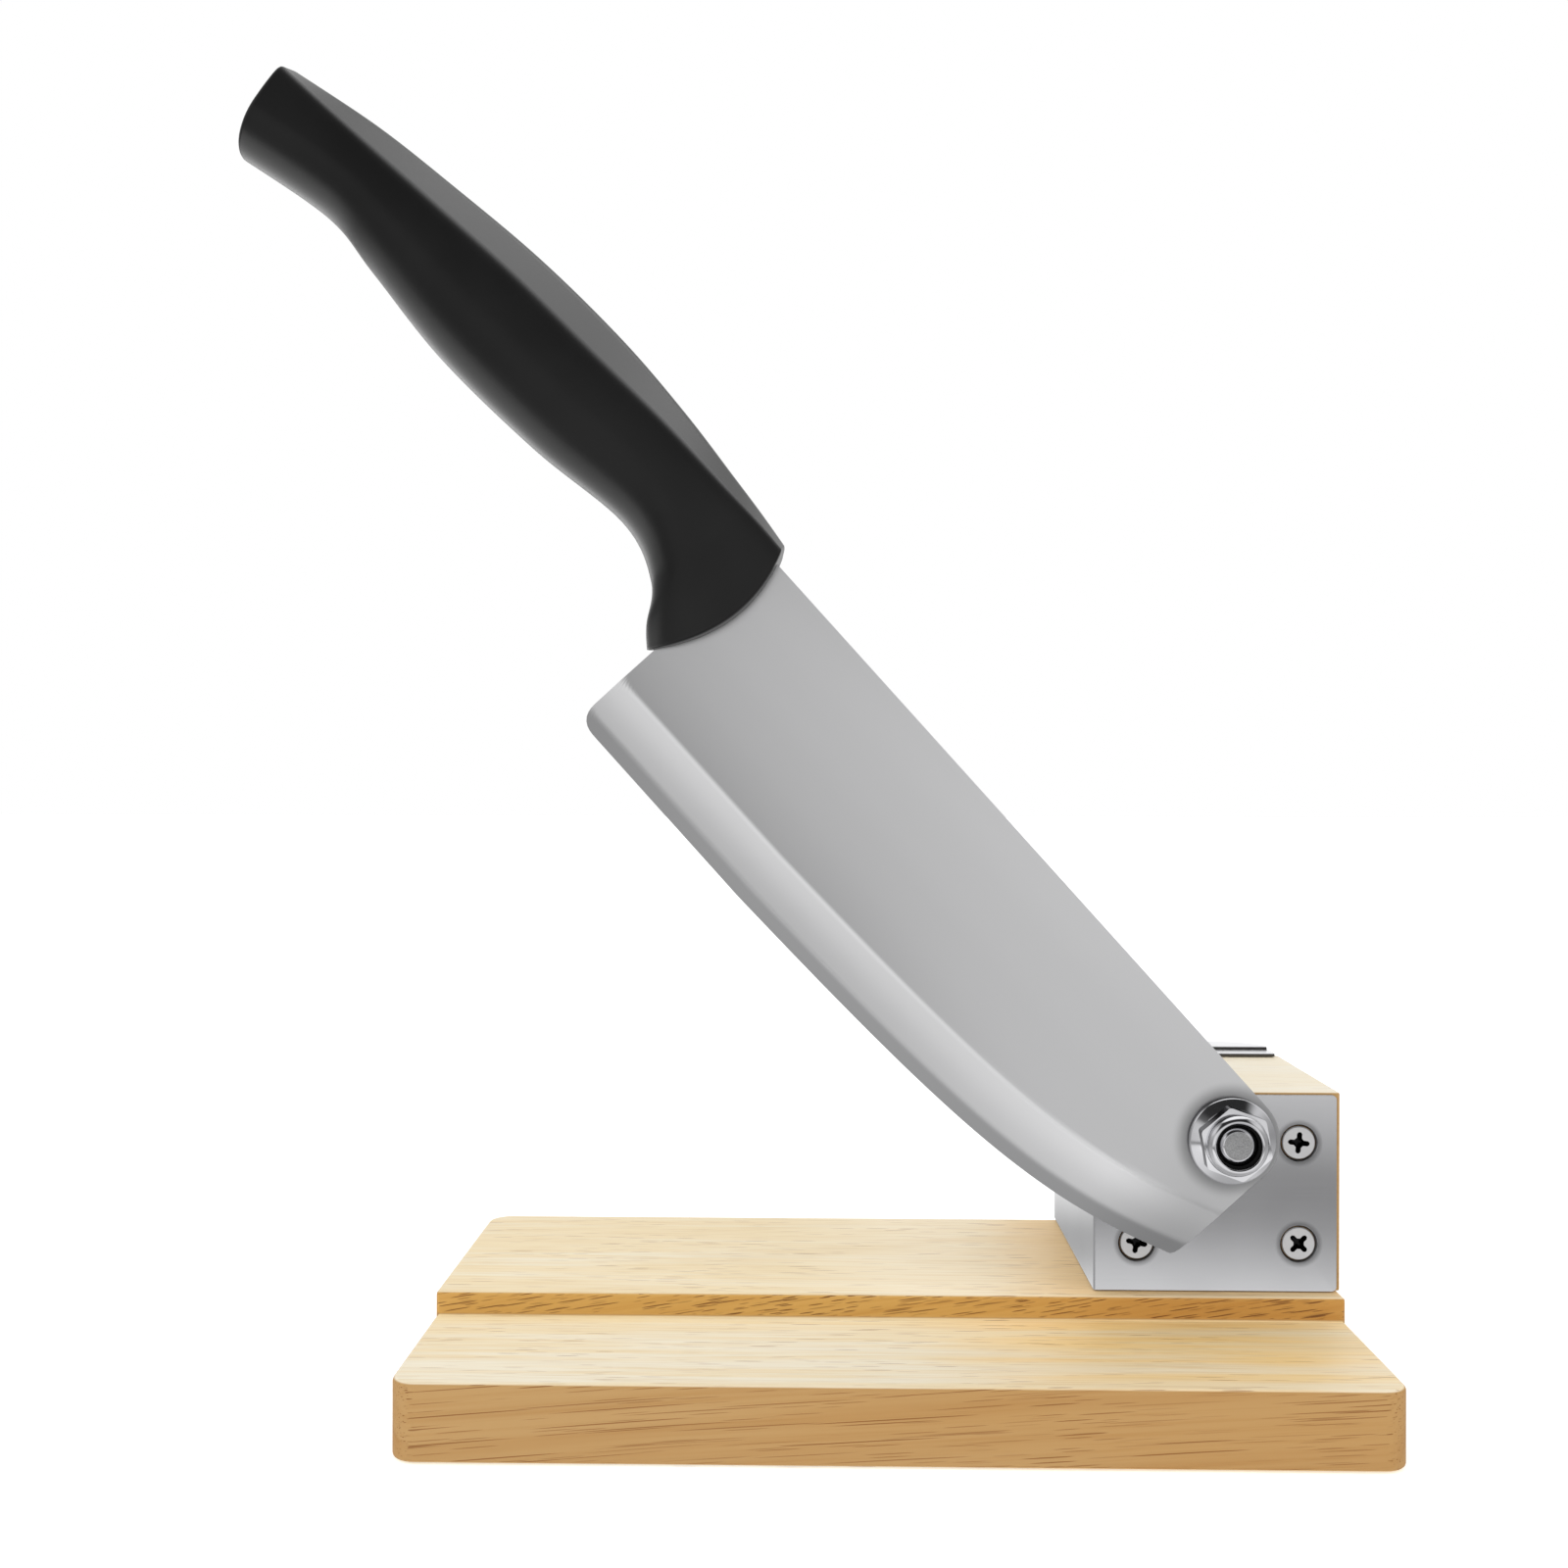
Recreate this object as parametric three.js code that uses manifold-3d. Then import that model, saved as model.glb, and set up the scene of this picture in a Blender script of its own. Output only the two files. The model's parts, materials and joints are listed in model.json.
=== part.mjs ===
// Guillotine meat slicer: a stepped wooden board whose knife turns on a bolt through a corner block.
// Millimetres, +Z up, +X to the user's right and +Y away from the user.
// The origin is the centre of the board's underside.

import * as THREE from 'three';
import { mergeVertices } from 'three/addons/utils/BufferGeometryUtils.js';
import Module from 'manifold-3d';

const wasm = await Module();
wasm.setup();

// Fits
const seatGap = 0.2; // between pieces that sit on each other
const runningGap = 0.25; // round the bolt, on the radius
const pilotGap = 0.15; // round a screw, on the radius
const tangGap = 0.3; // round the blade inside the handle

// Board
const boardLength = 190;
const boardDepth = 107;
const boardThickness = 20;
const boardCornerRadius = 5;
const lowerDeckDepth = 42; // from the front edge back to the step
const stepHeight = 5;
const woodEdge = 0.8; // eased edge of the board and the block

// Pivot block, flush with the board's right and rear sides
const blockWidth = 50.8;
const blockHeight = 42;
const blockCornerRadius = 13; // its upright corner at the right rear

// Folded sheet round the block's front and left side
const sheetThickness = 0.8;
const foldInside = 0.2; // radius inside the fold
const foldOutside = 0.6; // radius outside the fold, pressed sharp
const coverInset = 0.4; // bare wood above the cover and to its right
const coverCornerRadius = 1.2;

// Pivot
const pivotFromRight = 24.3;
const pivotAboveDeck = 33.2;
const boltDiameter = 8;
const boltChamfer = 0.45;
const boltEndRecess = 0.9; // bolt's end below the nut's rim
const headAcrossFlats = 13;
const headHeight = 5.3;
const hexChamferShare = 0.95; // round top of a hexagon, as a share of its width across flats
const washerDiameter = 16;
const washerThickness = 1.6;
const bladeClearance = 0.4; // between the blade and the face of the step

// Locking flange nut
const nutAcrossFlats = 13.4;
const nutHeight = 6.9;
const nutTurn = -10; // degrees, as it was tightened
const flangeDiameter = 17.9;
const flangeRim = 1.1; // thickness at the flange's edge
const flangeHeight = 2.05; // where the flange's cone meets the hexagon
const hexHeight = 5; // from the seat to the shoulder of the collar
const collarDiameter = 12.4;
const collarMouthDiameter = 9.4;
const collarRim = 0.7; // crimped edge over the insert
const collarRound = 1.2;
const insertDiameter = 10.4;
const insertThickness = 1.6;

// Blade, measured from the pivot with the knife level and pointing left
const raisedAngle = 47.9; // degrees above level
const bladeThickness = 2;
const spineRise = 10; // pivot to the back of the blade
const edgeDrop = 42.4; // pivot to the straight part of the edge
const tipDrop = 25.6; // pivot to the low corner beside it
const tipRadius = 1.6;
const heelReach = 155.5; // pivot to the heel
const heelRadius = 4.6;
const straightEdge = 45; // straight part of the edge in front of the heel
// Where the edge's curve heads from the tip and from its straight part, ahead of and above that part
const tipPull = [88, 4.2];
const straightPull = [65, 1.8];
const bevelWidth = 12;
const edgeThickness = 0.4;

// Handle, moulded over the tang
const handleLength = 140; // behind the heel
const handleHeight = 40;
const handleThickness = 22;
const tangLength = 0.56 * handleLength;
const tangHeight = 0.28 * handleHeight;
const frontBulge = 5.6; // how far the front curves out over the blade
const buttBulge = 0.3;
const frontBlend = 0.16; // share of the handle's length over which the front's curve fades
const buttBlend = 0.12;
const frontLip = 0.86; // width at the very front, as a share of the width behind it
const buttLip = 0.8;
const lipBlend = 0.07; // share of the length over which the ends reach their full width

// Screws
const screwDiameter = 3.8;
const screwHeadDiameter = 7;
const screwHeadHeight = 2.6;
const screwRim = 0.3; // thickness at the head's edge
const screwPoint = 3.5;
const crossLength = 4.4;
const crossWidth = 1.1;
const crossDepth = 1.5;
const countersinkDiameter = 7.8;
const screwSink = 0.3; // head below the surface
const coverScrewTurns = { top_left: 30, top_right: 5, bottom_left: 15, bottom_right: 45 }; // degrees
const coverScrewLength = 18;
const coverScrewFromFold = 9.1;
const coverScrewFromRight = 8.4;
const coverScrewFromTop = 10.1;
const coverScrewFromBottom = 10.1;
const blockScrewLength = 32;
const blockScrewFromSide = 12;
const blockScrewFromFront = 24;
const blockScrewFromRear = 18;
const plateScrewLength = 14;

// Rear plate, folded forward over the block's top edge and rounded like the block's corner
const plateInset = 1.6; // from the block's sides
const plateDrop = 30; // below the block's top
const tabDepth = 14.5; // forward over the top
const hemDepth = 9; // doubled strip along the fold
const plateScrewFromSide = 6;
const plateScrewFromBottom = 7;

// Facets
const weldDistance = 1e-4;
const roundFacets = 32;
const screwFacets = 16;
const bevelSteps = 40;
const handleSteps = 36;
const through = 5; // how far a cutter runs past the face that it opens

// Places shared by the pieces
const boardRight = boardLength / 2;
const boardFront = -boardDepth / 2;
const boardRear = boardDepth / 2;
const stepFace = boardFront + lowerDeckDepth;
const deckTop = boardThickness;
const lowerDeckTop = boardThickness - stepHeight;
const bladeBack = stepFace - bladeClearance;
const bladeFront = bladeBack - bladeThickness;
const coverFace = bladeBack + 2 * washerThickness + 3 * seatGap;
const blockFront = coverFace + sheetThickness + seatGap;
const blockLeft = boardRight - blockWidth;
const blockBottom = deckTop + seatGap;
const blockTop = deckTop + blockHeight;
const coverLeft = blockLeft - seatGap - sheetThickness;
const coverRight = boardRight - coverInset;
const coverBottom = deckTop + seatGap;
const coverTop = blockTop - coverInset;
const pivotX = boardRight - pivotFromRight;
const pivotZ = deckTop + pivotAboveDeck;
const boltRadius = boltDiameter / 2;
const boltHole = boltRadius + runningGap;
const nutSeat = bladeFront - seatGap;
const boltEnd = nutSeat - nutHeight + boltEndRecess;
const plateFront = boardRear + seatGap;
const plateRear = plateFront + sheetThickness;
const headSeat = plateRear + seatGap;

// Solids

// A closed geometry as a solid that can be joined and cut, with its faces pointing out.
function solidOf(geometry) {
  const bare = geometry.clone();
  bare.deleteAttribute('normal');
  bare.deleteAttribute('uv');
  const welded = mergeVertices(bare, weldDistance);
  const points = welded.attributes.position.array;
  const corners = welded.index.array;
  const triangles = [];
  let volume = 0;
  const a = new THREE.Vector3();
  const b = new THREE.Vector3();
  const c = new THREE.Vector3();
  for (let i = 0; i < corners.length; i += 3) {
    const [p, q, r] = [corners[i], corners[i + 1], corners[i + 2]];
    if (p === q || q === r || r === p) {
      continue;
    }
    triangles.push(p, q, r);
    a.fromArray(points, 3 * p);
    b.fromArray(points, 3 * q);
    c.fromArray(points, 3 * r);
    volume += a.dot(b.cross(c));
  }
  if (volume < 0) {
    triangles.reverse();
  }
  const vertProperties = new Float32Array(points);
  const triVerts = new Uint32Array(triangles);
  return new wasm.Manifold(new wasm.Mesh({ numProp: 3, vertProperties, triVerts }));
}

function geometryOf(solid) {
  const { vertProperties, triVerts } = solid.getMesh();
  const geometry = new THREE.BufferGeometry();
  geometry.setAttribute('position', new THREE.BufferAttribute(vertProperties, 3));
  geometry.setIndex(new THREE.BufferAttribute(triVerts, 1));
  geometry.computeVertexNormals();
  return geometry;
}

function cut(solid, cutters) {
  return cutters.reduce((rest, cutter) => rest.subtract(cutter), solid);
}

// A closed skin over rings of points, each ring with the same count, with flat ends.
function loft(rings) {
  const count = rings[0].length;
  const points = rings.flat();
  const index = [];
  for (let i = 0; i + 1 < rings.length; i += 1) {
    for (let j = 0; j < count; j += 1) {
      const near = i * count + j;
      const next = i * count + ((j + 1) % count);
      index.push(near, next, near + count, next, next + count, near + count);
    }
  }
  const last = (rings.length - 1) * count;
  for (const [start, turn] of [[0, -1], [last, 1]]) {
    const middle = new THREE.Vector3();
    for (let j = 0; j < count; j += 1) {
      middle.addScaledVector(points[start + j], 1 / count);
    }
    const centre = points.push(middle) - 1;
    for (let j = 0; j < count; j += 1) {
      const pair = [start + j, start + ((j + 1) % count)];
      index.push(centre, ...(turn > 0 ? pair : pair.reverse()));
    }
  }
  const geometry = new THREE.BufferGeometry().setFromPoints(points);
  geometry.setIndex(index);
  return geometry;
}

// An outline drawn in X and Z, as thick as from near to far along Y.
function slab(outline, near, far) {
  const geometry = new THREE.ExtrudeGeometry(outline, {
    depth: far - near,
    bevelEnabled: false,
    curveSegments: 16,
  });
  return geometry.rotateX(Math.PI / 2).translate(0, far, 0);
}

// An outline drawn in X and Y, standing from bottom to top, with an eased edge all round.
function standing(outline, bottom, top, edge) {
  const geometry = new THREE.ExtrudeGeometry(outline, {
    depth: top - bottom - 2 * edge,
    bevelEnabled: edge > 0,
    bevelThickness: edge,
    bevelSize: edge,
    bevelOffset: -edge,
    bevelSegments: 2,
    curveSegments: 8,
  });
  return geometry.translate(0, 0, bottom + edge);
}

// A round piece about the Y axis, from pairs of a radius and a place along Y.
function turned(profile, facets = roundFacets) {
  const points = profile.map(([radius, along]) => new THREE.Vector2(radius, along));
  return new THREE.LatheGeometry(points, facets);
}

function ring(inner, outer, near, far) {
  return turned([[inner, near], [outer, near], [outer, far], [inner, far], [inner, near]]);
}

function rod(radius, near, far) {
  return turned([[0, near], [radius, near], [radius, far], [0, far]]);
}

// A hexagon about the Y axis with a corner at the top.
function hexagon(acrossFlats, near, far) {
  const geometry = new THREE.CylinderGeometry(
    acrossFlats / Math.sqrt(3),
    acrossFlats / Math.sqrt(3),
    far - near,
    6,
  );
  return geometry.translate(0, (near + far) / 2, 0);
}

// A rectangle with a radius for each corner: left front, right front, right rear, left rear.
function roundedRectangle(left, right, front, rear, radii) {
  const outline = new THREE.Shape();
  const [leftFront, rightFront, rightRear, leftRear] = radii;
  const quarter = Math.PI / 2;
  const corners = [
    [left + leftFront, front + leftFront, leftFront, 2 * quarter],
    [right - rightFront, front + rightFront, rightFront, 3 * quarter],
    [right - rightRear, rear - rightRear, rightRear, 0],
    [left + leftRear, rear - leftRear, leftRear, quarter],
  ];
  outline.moveTo(left, front + leftFront);
  for (const [x, y, radius, start] of corners) {
    outline.lineTo(x + radius * Math.cos(start), y + radius * Math.sin(start));
    if (radius > 0) {
      outline.absarc(x, y, radius, start, start + quarter);
    }
  }
  return outline;
}

// Fasteners

// A countersunk screw: its head faces -Y at the origin and its point lies along +Y.
function screwGeometry(length) {
  const radius = screwDiameter / 2;
  const body = turned([
    [0, screwSink],
    [screwHeadDiameter / 2, screwSink],
    [screwHeadDiameter / 2, screwSink + screwRim],
    [radius, screwHeadHeight],
    [radius, length - screwPoint],
    [0, length],
  ], screwFacets);
  const arms = [0, Math.PI / 2].map((turn) => {
    const arm = new THREE.BoxGeometry(crossLength, 2 * crossDepth, crossWidth);
    return solidOf(arm.rotateY(turn).translate(0, screwSink, 0));
  });
  return geometryOf(cut(solidOf(body), arms));
}

// The countersunk hole that a screw goes in, open past the surface.
function screwHole(length) {
  const radius = screwDiameter / 2 + pilotGap;
  const mouth = countersinkDiameter / 2;
  return turned([
    [0, -through],
    [mouth, -through],
    [mouth, 0],
    [screwHeadDiameter / 2 + pilotGap, screwSink + screwRim + pilotGap],
    [radius, screwHeadHeight + pilotGap],
    [radius, length - screwPoint],
    [pilotGap, length + pilotGap],
    [0, length + pilotGap],
  ], screwFacets);
}

// Where each screw's head sits, and how the screw is turned from lying along +Y.
const blockScrewColumns = { left: blockLeft + blockScrewFromSide, right: boardRight - blockScrewFromSide };
const blockScrewRows = { front: blockFront + blockScrewFromFront, rear: boardRear - blockScrewFromRear };
const blockScrewSpots = [];
for (const [side, x] of Object.entries(blockScrewColumns)) {
  for (const [end, y] of Object.entries(blockScrewRows)) {
    const name = `block_screw_${end}_${side}`;
    blockScrewSpots.push({ name, place: [x, y, 0], turn: [Math.PI / 2, 0, 0] });
  }
}

const coverScrewColumns = { left: coverLeft + coverScrewFromFold, right: coverRight - coverScrewFromRight };
const coverScrewRows = { top: coverTop - coverScrewFromTop, bottom: coverBottom + coverScrewFromBottom };
const coverScrewSpots = [];
for (const [level, z] of Object.entries(coverScrewRows)) {
  for (const [side, x] of Object.entries(coverScrewColumns)) {
    const corner = `${level}_${side}`;
    const turn = THREE.MathUtils.degToRad(coverScrewTurns[corner]);
    coverScrewSpots.push({ name: `cover_screw_${corner}`, place: [x, coverFace, z], turn: [0, turn, 0] });
  }
}

const plateBottom = blockTop - plateDrop;
const plateLeft = blockLeft + plateInset;
const plateRight = boardRight - plateInset;
const legRight = boardRight - blockCornerRadius; // the leg keeps to the flat of the block's rear side
const plateScrewZ = plateBottom + plateScrewFromBottom;
const plateScrewColumns = { left: plateLeft + plateScrewFromSide, right: legRight - plateScrewFromSide };
const plateScrewSpots = Object.entries(plateScrewColumns).map(([side, x]) => {
  const name = `plate_screw_${side}`;
  return { name, place: [x, plateRear, plateScrewZ], turn: [0, 0, Math.PI] };
});

// Holes for a set of screws, where the screws are.
function holesFor(spots, length) {
  return spots.map(({ place, turn }) => {
    const frame = new THREE.Matrix4().makeRotationFromEuler(new THREE.Euler(...turn));
    frame.setPosition(...place);
    return solidOf(screwHole(length).applyMatrix4(frame));
  });
}

// The bolt's hole through everything on the block.
function boltBore() {
  const bore = rod(boltHole, bladeFront - through, headSeat + through);
  return solidOf(bore.translate(pivotX, 0, pivotZ));
}

// Base

function makeBoard() {
  const round = boardCornerRadius;
  const wholeCorners = [round, round, round, round];
  const upperCorners = [0, 0, round, round];
  const wholePlan = roundedRectangle(-boardRight, boardRight, boardFront, boardRear, wholeCorners);
  const upperPlan = roundedRectangle(-boardRight, boardRight, stepFace, boardRear, upperCorners);
  const lower = solidOf(standing(wholePlan, 0, lowerDeckTop, woodEdge));
  const upper = solidOf(standing(upperPlan, 0, deckTop, woodEdge));
  return geometryOf(cut(lower.add(upper), holesFor(blockScrewSpots, blockScrewLength)));
}

function makeBlock() {
  const foldRound = Math.max(0, foldInside - seatGap);
  const plan = roundedRectangle(
    blockLeft,
    boardRight,
    blockFront,
    boardRear,
    [foldRound, 0, blockCornerRadius, 0],
  );
  const block = solidOf(standing(plan, blockBottom, blockTop, woodEdge));
  return geometryOf(cut(block, [
    boltBore(),
    ...holesFor(blockScrewSpots, blockScrewLength),
    ...holesFor(coverScrewSpots, coverScrewLength),
    ...holesFor(plateScrewSpots, plateScrewLength),
  ]));
}

// The cover's plan is an L with a rounded fold at its front left corner.
function makeCover() {
  const insideX = coverLeft + sheetThickness + foldInside;
  const insideY = coverFace + sheetThickness + foldInside;
  const outsideX = coverLeft + foldOutside;
  const outsideY = coverFace + foldOutside;
  const plan = new THREE.Shape();
  plan.moveTo(coverRight, coverFace);
  plan.lineTo(coverRight, coverFace + sheetThickness);
  plan.absarc(insideX, insideY, foldInside, -Math.PI / 2, -Math.PI, true);
  plan.lineTo(coverLeft + sheetThickness, boardRear);
  plan.lineTo(coverLeft, boardRear);
  plan.absarc(outsideX, outsideY, foldOutside, Math.PI, 1.5 * Math.PI);
  const sheet = solidOf(standing(plan, coverBottom, coverTop, 0));
  const front = roundedRectangle(
    coverLeft - through,
    coverRight,
    coverBottom,
    coverTop,
    [0, coverCornerRadius, coverCornerRadius, 0],
  );
  const trimmed = sheet.intersect(solidOf(slab(front, coverFace - through, boardRear + through)));
  return geometryOf(cut(trimmed, [boltBore(), ...holesFor(coverScrewSpots, coverScrewLength)]));
}

// The rear plate's section is drawn in Y and Z: a tall leg, a tab over the block and a doubled strip.
function makeRearPlate() {
  const tabBottom = blockTop + seatGap;
  const tabTop = tabBottom + sheetThickness;
  const hemTop = tabTop + sheetThickness;
  const section = new THREE.Shape();
  section.moveTo(plateFront, plateBottom);
  section.lineTo(plateRear, plateBottom);
  section.lineTo(plateRear, tabTop);
  section.absarc(plateRear - sheetThickness, tabTop, sheetThickness, 0, Math.PI / 2);
  section.lineTo(plateRear - hemDepth, hemTop);
  section.lineTo(plateRear - hemDepth, tabTop);
  section.lineTo(plateRear - tabDepth, tabTop);
  section.lineTo(plateRear - tabDepth, tabBottom);
  section.lineTo(plateFront, tabBottom);
  const strip = new THREE.ExtrudeGeometry(section, {
    depth: plateRight - plateLeft,
    bevelEnabled: false,
    curveSegments: 6,
  });
  const acrossX = new THREE.Matrix4().makeBasis(
    new THREE.Vector3(0, 1, 0),
    new THREE.Vector3(0, 0, 1),
    new THREE.Vector3(1, 0, 0),
  );
  strip.applyMatrix4(acrossX).translate(plateLeft, 0, 0);
  const tabRound = plateRight - legRight;
  const plan = new THREE.Shape();
  plan.moveTo(plateLeft - through, plateRear - tabDepth - through);
  plan.lineTo(plateRight, plateRear - tabDepth - through);
  plan.lineTo(plateRight, plateFront - tabRound);
  plan.absarc(legRight, plateFront - tabRound, tabRound, 0, Math.PI / 2);
  plan.lineTo(legRight, plateRear + through);
  plan.lineTo(plateLeft - through, plateRear + through);
  const planned = solidOf(standing(plan, plateBottom - through, hemTop + through, 0));
  const trimmed = solidOf(strip).intersect(planned);
  return geometryOf(cut(trimmed, [boltBore(), ...holesFor(plateScrewSpots, plateScrewLength)]));
}

// Pivot, about the Y axis with the frame's own Y

function makeBolt() {
  const headEnd = headSeat + headHeight;
  const cornerRadius = headAcrossFlats / Math.sqrt(3);
  const flatRadius = headAcrossFlats / 2;
  const chamfer = solidOf(turned([
    [0, headSeat],
    [cornerRadius, headSeat],
    [cornerRadius, headEnd - (cornerRadius - flatRadius)],
    [flatRadius * hexChamferShare, headEnd],
    [0, headEnd],
  ]));
  const shank = solidOf(turned([
    [0, boltEnd],
    [boltRadius - boltChamfer, boltEnd],
    [boltRadius, boltEnd + boltChamfer],
    [boltRadius, headSeat + headHeight / 2],
    [0, headSeat + headHeight / 2],
  ]));
  const head = solidOf(hexagon(headAcrossFlats, headSeat, headEnd)).intersect(chamfer);
  return geometryOf(head.add(shank));
}

function makeNut() {
  const flats = nutAcrossFlats / 2;
  const corners = nutAcrossFlats / Math.sqrt(3);
  const shoulder = nutSeat - hexHeight;
  const top = nutSeat - nutHeight;
  const flange = solidOf(turned([
    [0, nutSeat],
    [flangeDiameter / 2, nutSeat],
    [flangeDiameter / 2, nutSeat - flangeRim],
    [flats, nutSeat - flangeHeight],
    [0, nutSeat - flangeHeight],
  ]));
  const chamfer = solidOf(turned([
    [0, nutSeat],
    [corners, nutSeat],
    [corners, shoulder + (corners - flats)],
    [flats * hexChamferShare, shoulder],
    [0, shoulder],
  ]));
  const hex = solidOf(hexagon(nutAcrossFlats, shoulder, nutSeat)).intersect(chamfer);
  const collarRadius = collarDiameter / 2;
  const crimp = [0, 1, 2, 3].map((step) => {
    const angle = (step / 3) * (Math.PI / 2);
    return [
      collarRadius - collarRound * (1 - Math.cos(angle)),
      top + collarRound * (1 - Math.sin(angle)),
    ];
  });
  const collar = solidOf(turned([[0, nutSeat], [collarRadius, nutSeat], ...crimp, [0, top]]));
  const insertSeat = top + collarRim + insertThickness + 2 * pilotGap;
  const bore = solidOf(turned([
    [0, nutSeat + through],
    [boltHole, nutSeat + through],
    [boltHole, insertSeat],
    [insertDiameter / 2 + pilotGap, insertSeat],
    [insertDiameter / 2 + pilotGap, top + collarRim],
    [collarMouthDiameter / 2, top + collarRim],
    [collarMouthDiameter / 2, top - through],
    [0, top - through],
  ]));
  return geometryOf(flange.add(hex).add(collar).subtract(bore));
}

function makeNutInsert() {
  const near = nutSeat - nutHeight + collarRim + pilotGap;
  return ring(boltRadius + pilotGap, insertDiameter / 2, near, near + insertThickness);
}

// Knife, level and pointing left: -X along the blade, +Z towards its back, the pivot at the origin

// The edge from the tip's corner to the start of the heel's radius.
function edgePath() {
  const straightFrom = -heelReach + heelRadius + straightEdge;
  const path = new THREE.Path();
  path.moveTo(spineRise - tipRadius, -tipDrop);
  path.bezierCurveTo(
    straightFrom + tipPull[0],
    -edgeDrop + tipPull[1],
    straightFrom + straightPull[0],
    -edgeDrop + straightPull[1],
    straightFrom,
    -edgeDrop,
  );
  path.lineTo(-heelReach + heelRadius, -edgeDrop);
  return path;
}

function bladeOutline() {
  const outline = new THREE.Shape();
  outline.moveTo(0, spineRise);
  outline.absarc(0, 0, spineRise, Math.PI / 2, 0, true);
  outline.lineTo(spineRise, -tipDrop + 1.5 * tipRadius);
  outline.quadraticCurveTo(spineRise, -tipDrop + 0.2 * tipRadius, spineRise - tipRadius, -tipDrop);
  outline.curves.push(...edgePath().curves);
  outline.currentPoint.set(-heelReach + heelRadius, -edgeDrop);
  outline.quadraticCurveTo(-heelReach, -edgeDrop, -heelReach, -edgeDrop + heelRadius);
  outline.lineTo(-heelReach, -tangHeight / 2);
  outline.lineTo(-heelReach - tangLength, -tangHeight / 2);
  outline.lineTo(-heelReach - tangLength, tangHeight / 2);
  outline.lineTo(-heelReach, tangHeight / 2);
  outline.lineTo(-heelReach, spineRise);
  return outline;
}

// What the grinding takes off the near side: a wedge that follows the edge from end to end.
function bevelWedge() {
  const slope = (bladeThickness - edgeThickness) / bevelWidth;
  const past = 1; // how far the wedge runs past the bevel's line and past the edge
  const section = [
    [-past, -bladeThickness - past * slope],
    [bevelWidth + past, -edgeThickness + past * slope],
    [bevelWidth + past, -bladeThickness - through],
  ];
  const path = edgePath();
  const stations = path.getSpacedPoints(bevelSteps).map((point, i) => {
    const along = path.getTangentAt(i / bevelSteps);
    return { point, along };
  });
  const first = stations[0];
  const last = stations[bevelSteps];
  const runOut = 4 * bevelWidth;
  const before = first.point.clone().addScaledVector(first.along, -runOut);
  const after = last.point.clone().addScaledVector(last.along, runOut);
  stations.unshift({ point: before, along: first.along });
  stations.push({ point: after, along: last.along });
  return solidOf(loft(stations.map(({ point, along }) => section.map(([down, y]) => {
    const inward = bevelWidth - down;
    return new THREE.Vector3(point.x + along.y * inward, y, point.y - along.x * inward);
  }))));
}

function makeBlade() {
  const plate = solidOf(slab(bladeOutline(), -bladeThickness, 0));
  const hole = solidOf(rod(boltHole, -bladeThickness - through, through));
  return geometryOf(cut(plate, [bevelWedge(), hole]));
}

// The handle's back and belly, as pairs of points from its front to its butt.
// Each point is a share of the length behind the heel and a share of the height above the pivot's line.
const gripStations = [
  { back: [-0.017, 0.34], belly: [0.007, -0.555], width: 0.72, facet: 0.04 },
  { back: [0.043, 0.365], belly: [0.036, -0.47], width: 0.8, facet: 0.07 },
  { back: [0.114, 0.388], belly: [0.079, -0.3], width: 0.87, facet: 0.13 },
  { back: [0.229, 0.42], belly: [0.171, -0.203], width: 0.93, facet: 0.21 },
  { back: [0.371, 0.433], belly: [0.343, -0.29], width: 1, facet: 0.25 },
  { back: [0.543, 0.398], belly: [0.536, -0.335], width: 1, facet: 0.25 },
  { back: [0.714, 0.315], belly: [0.7, -0.3], width: 0.95, facet: 0.26 },
  { back: [0.857, 0.23], belly: [0.807, -0.28], width: 0.9, facet: 0.26 },
  { back: [1.001, 0.1], belly: [0.966, -0.41], width: 0.92, facet: 0.22 },
];

function splineOf(pick) {
  return new THREE.SplineCurve(gripStations.map((station) => new THREE.Vector2(...pick(station))));
}

// Half of the handle's section, from its back to its belly: [share of the height, share of the half width].
function gripSection(facet) {
  const sideEnd = 0.52;
  const half = [[0, 0.24], [facet, 0.93], [(facet + sideEnd) / 2, 0.985]];
  const roundSteps = 6;
  for (let i = 0; i < roundSteps; i += 1) {
    const angle = (i / roundSteps) * (Math.PI / 2);
    half.push([sideEnd + (1 - sideEnd) * Math.sin(angle), Math.cos(angle)]);
  }
  return half;
}

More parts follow.
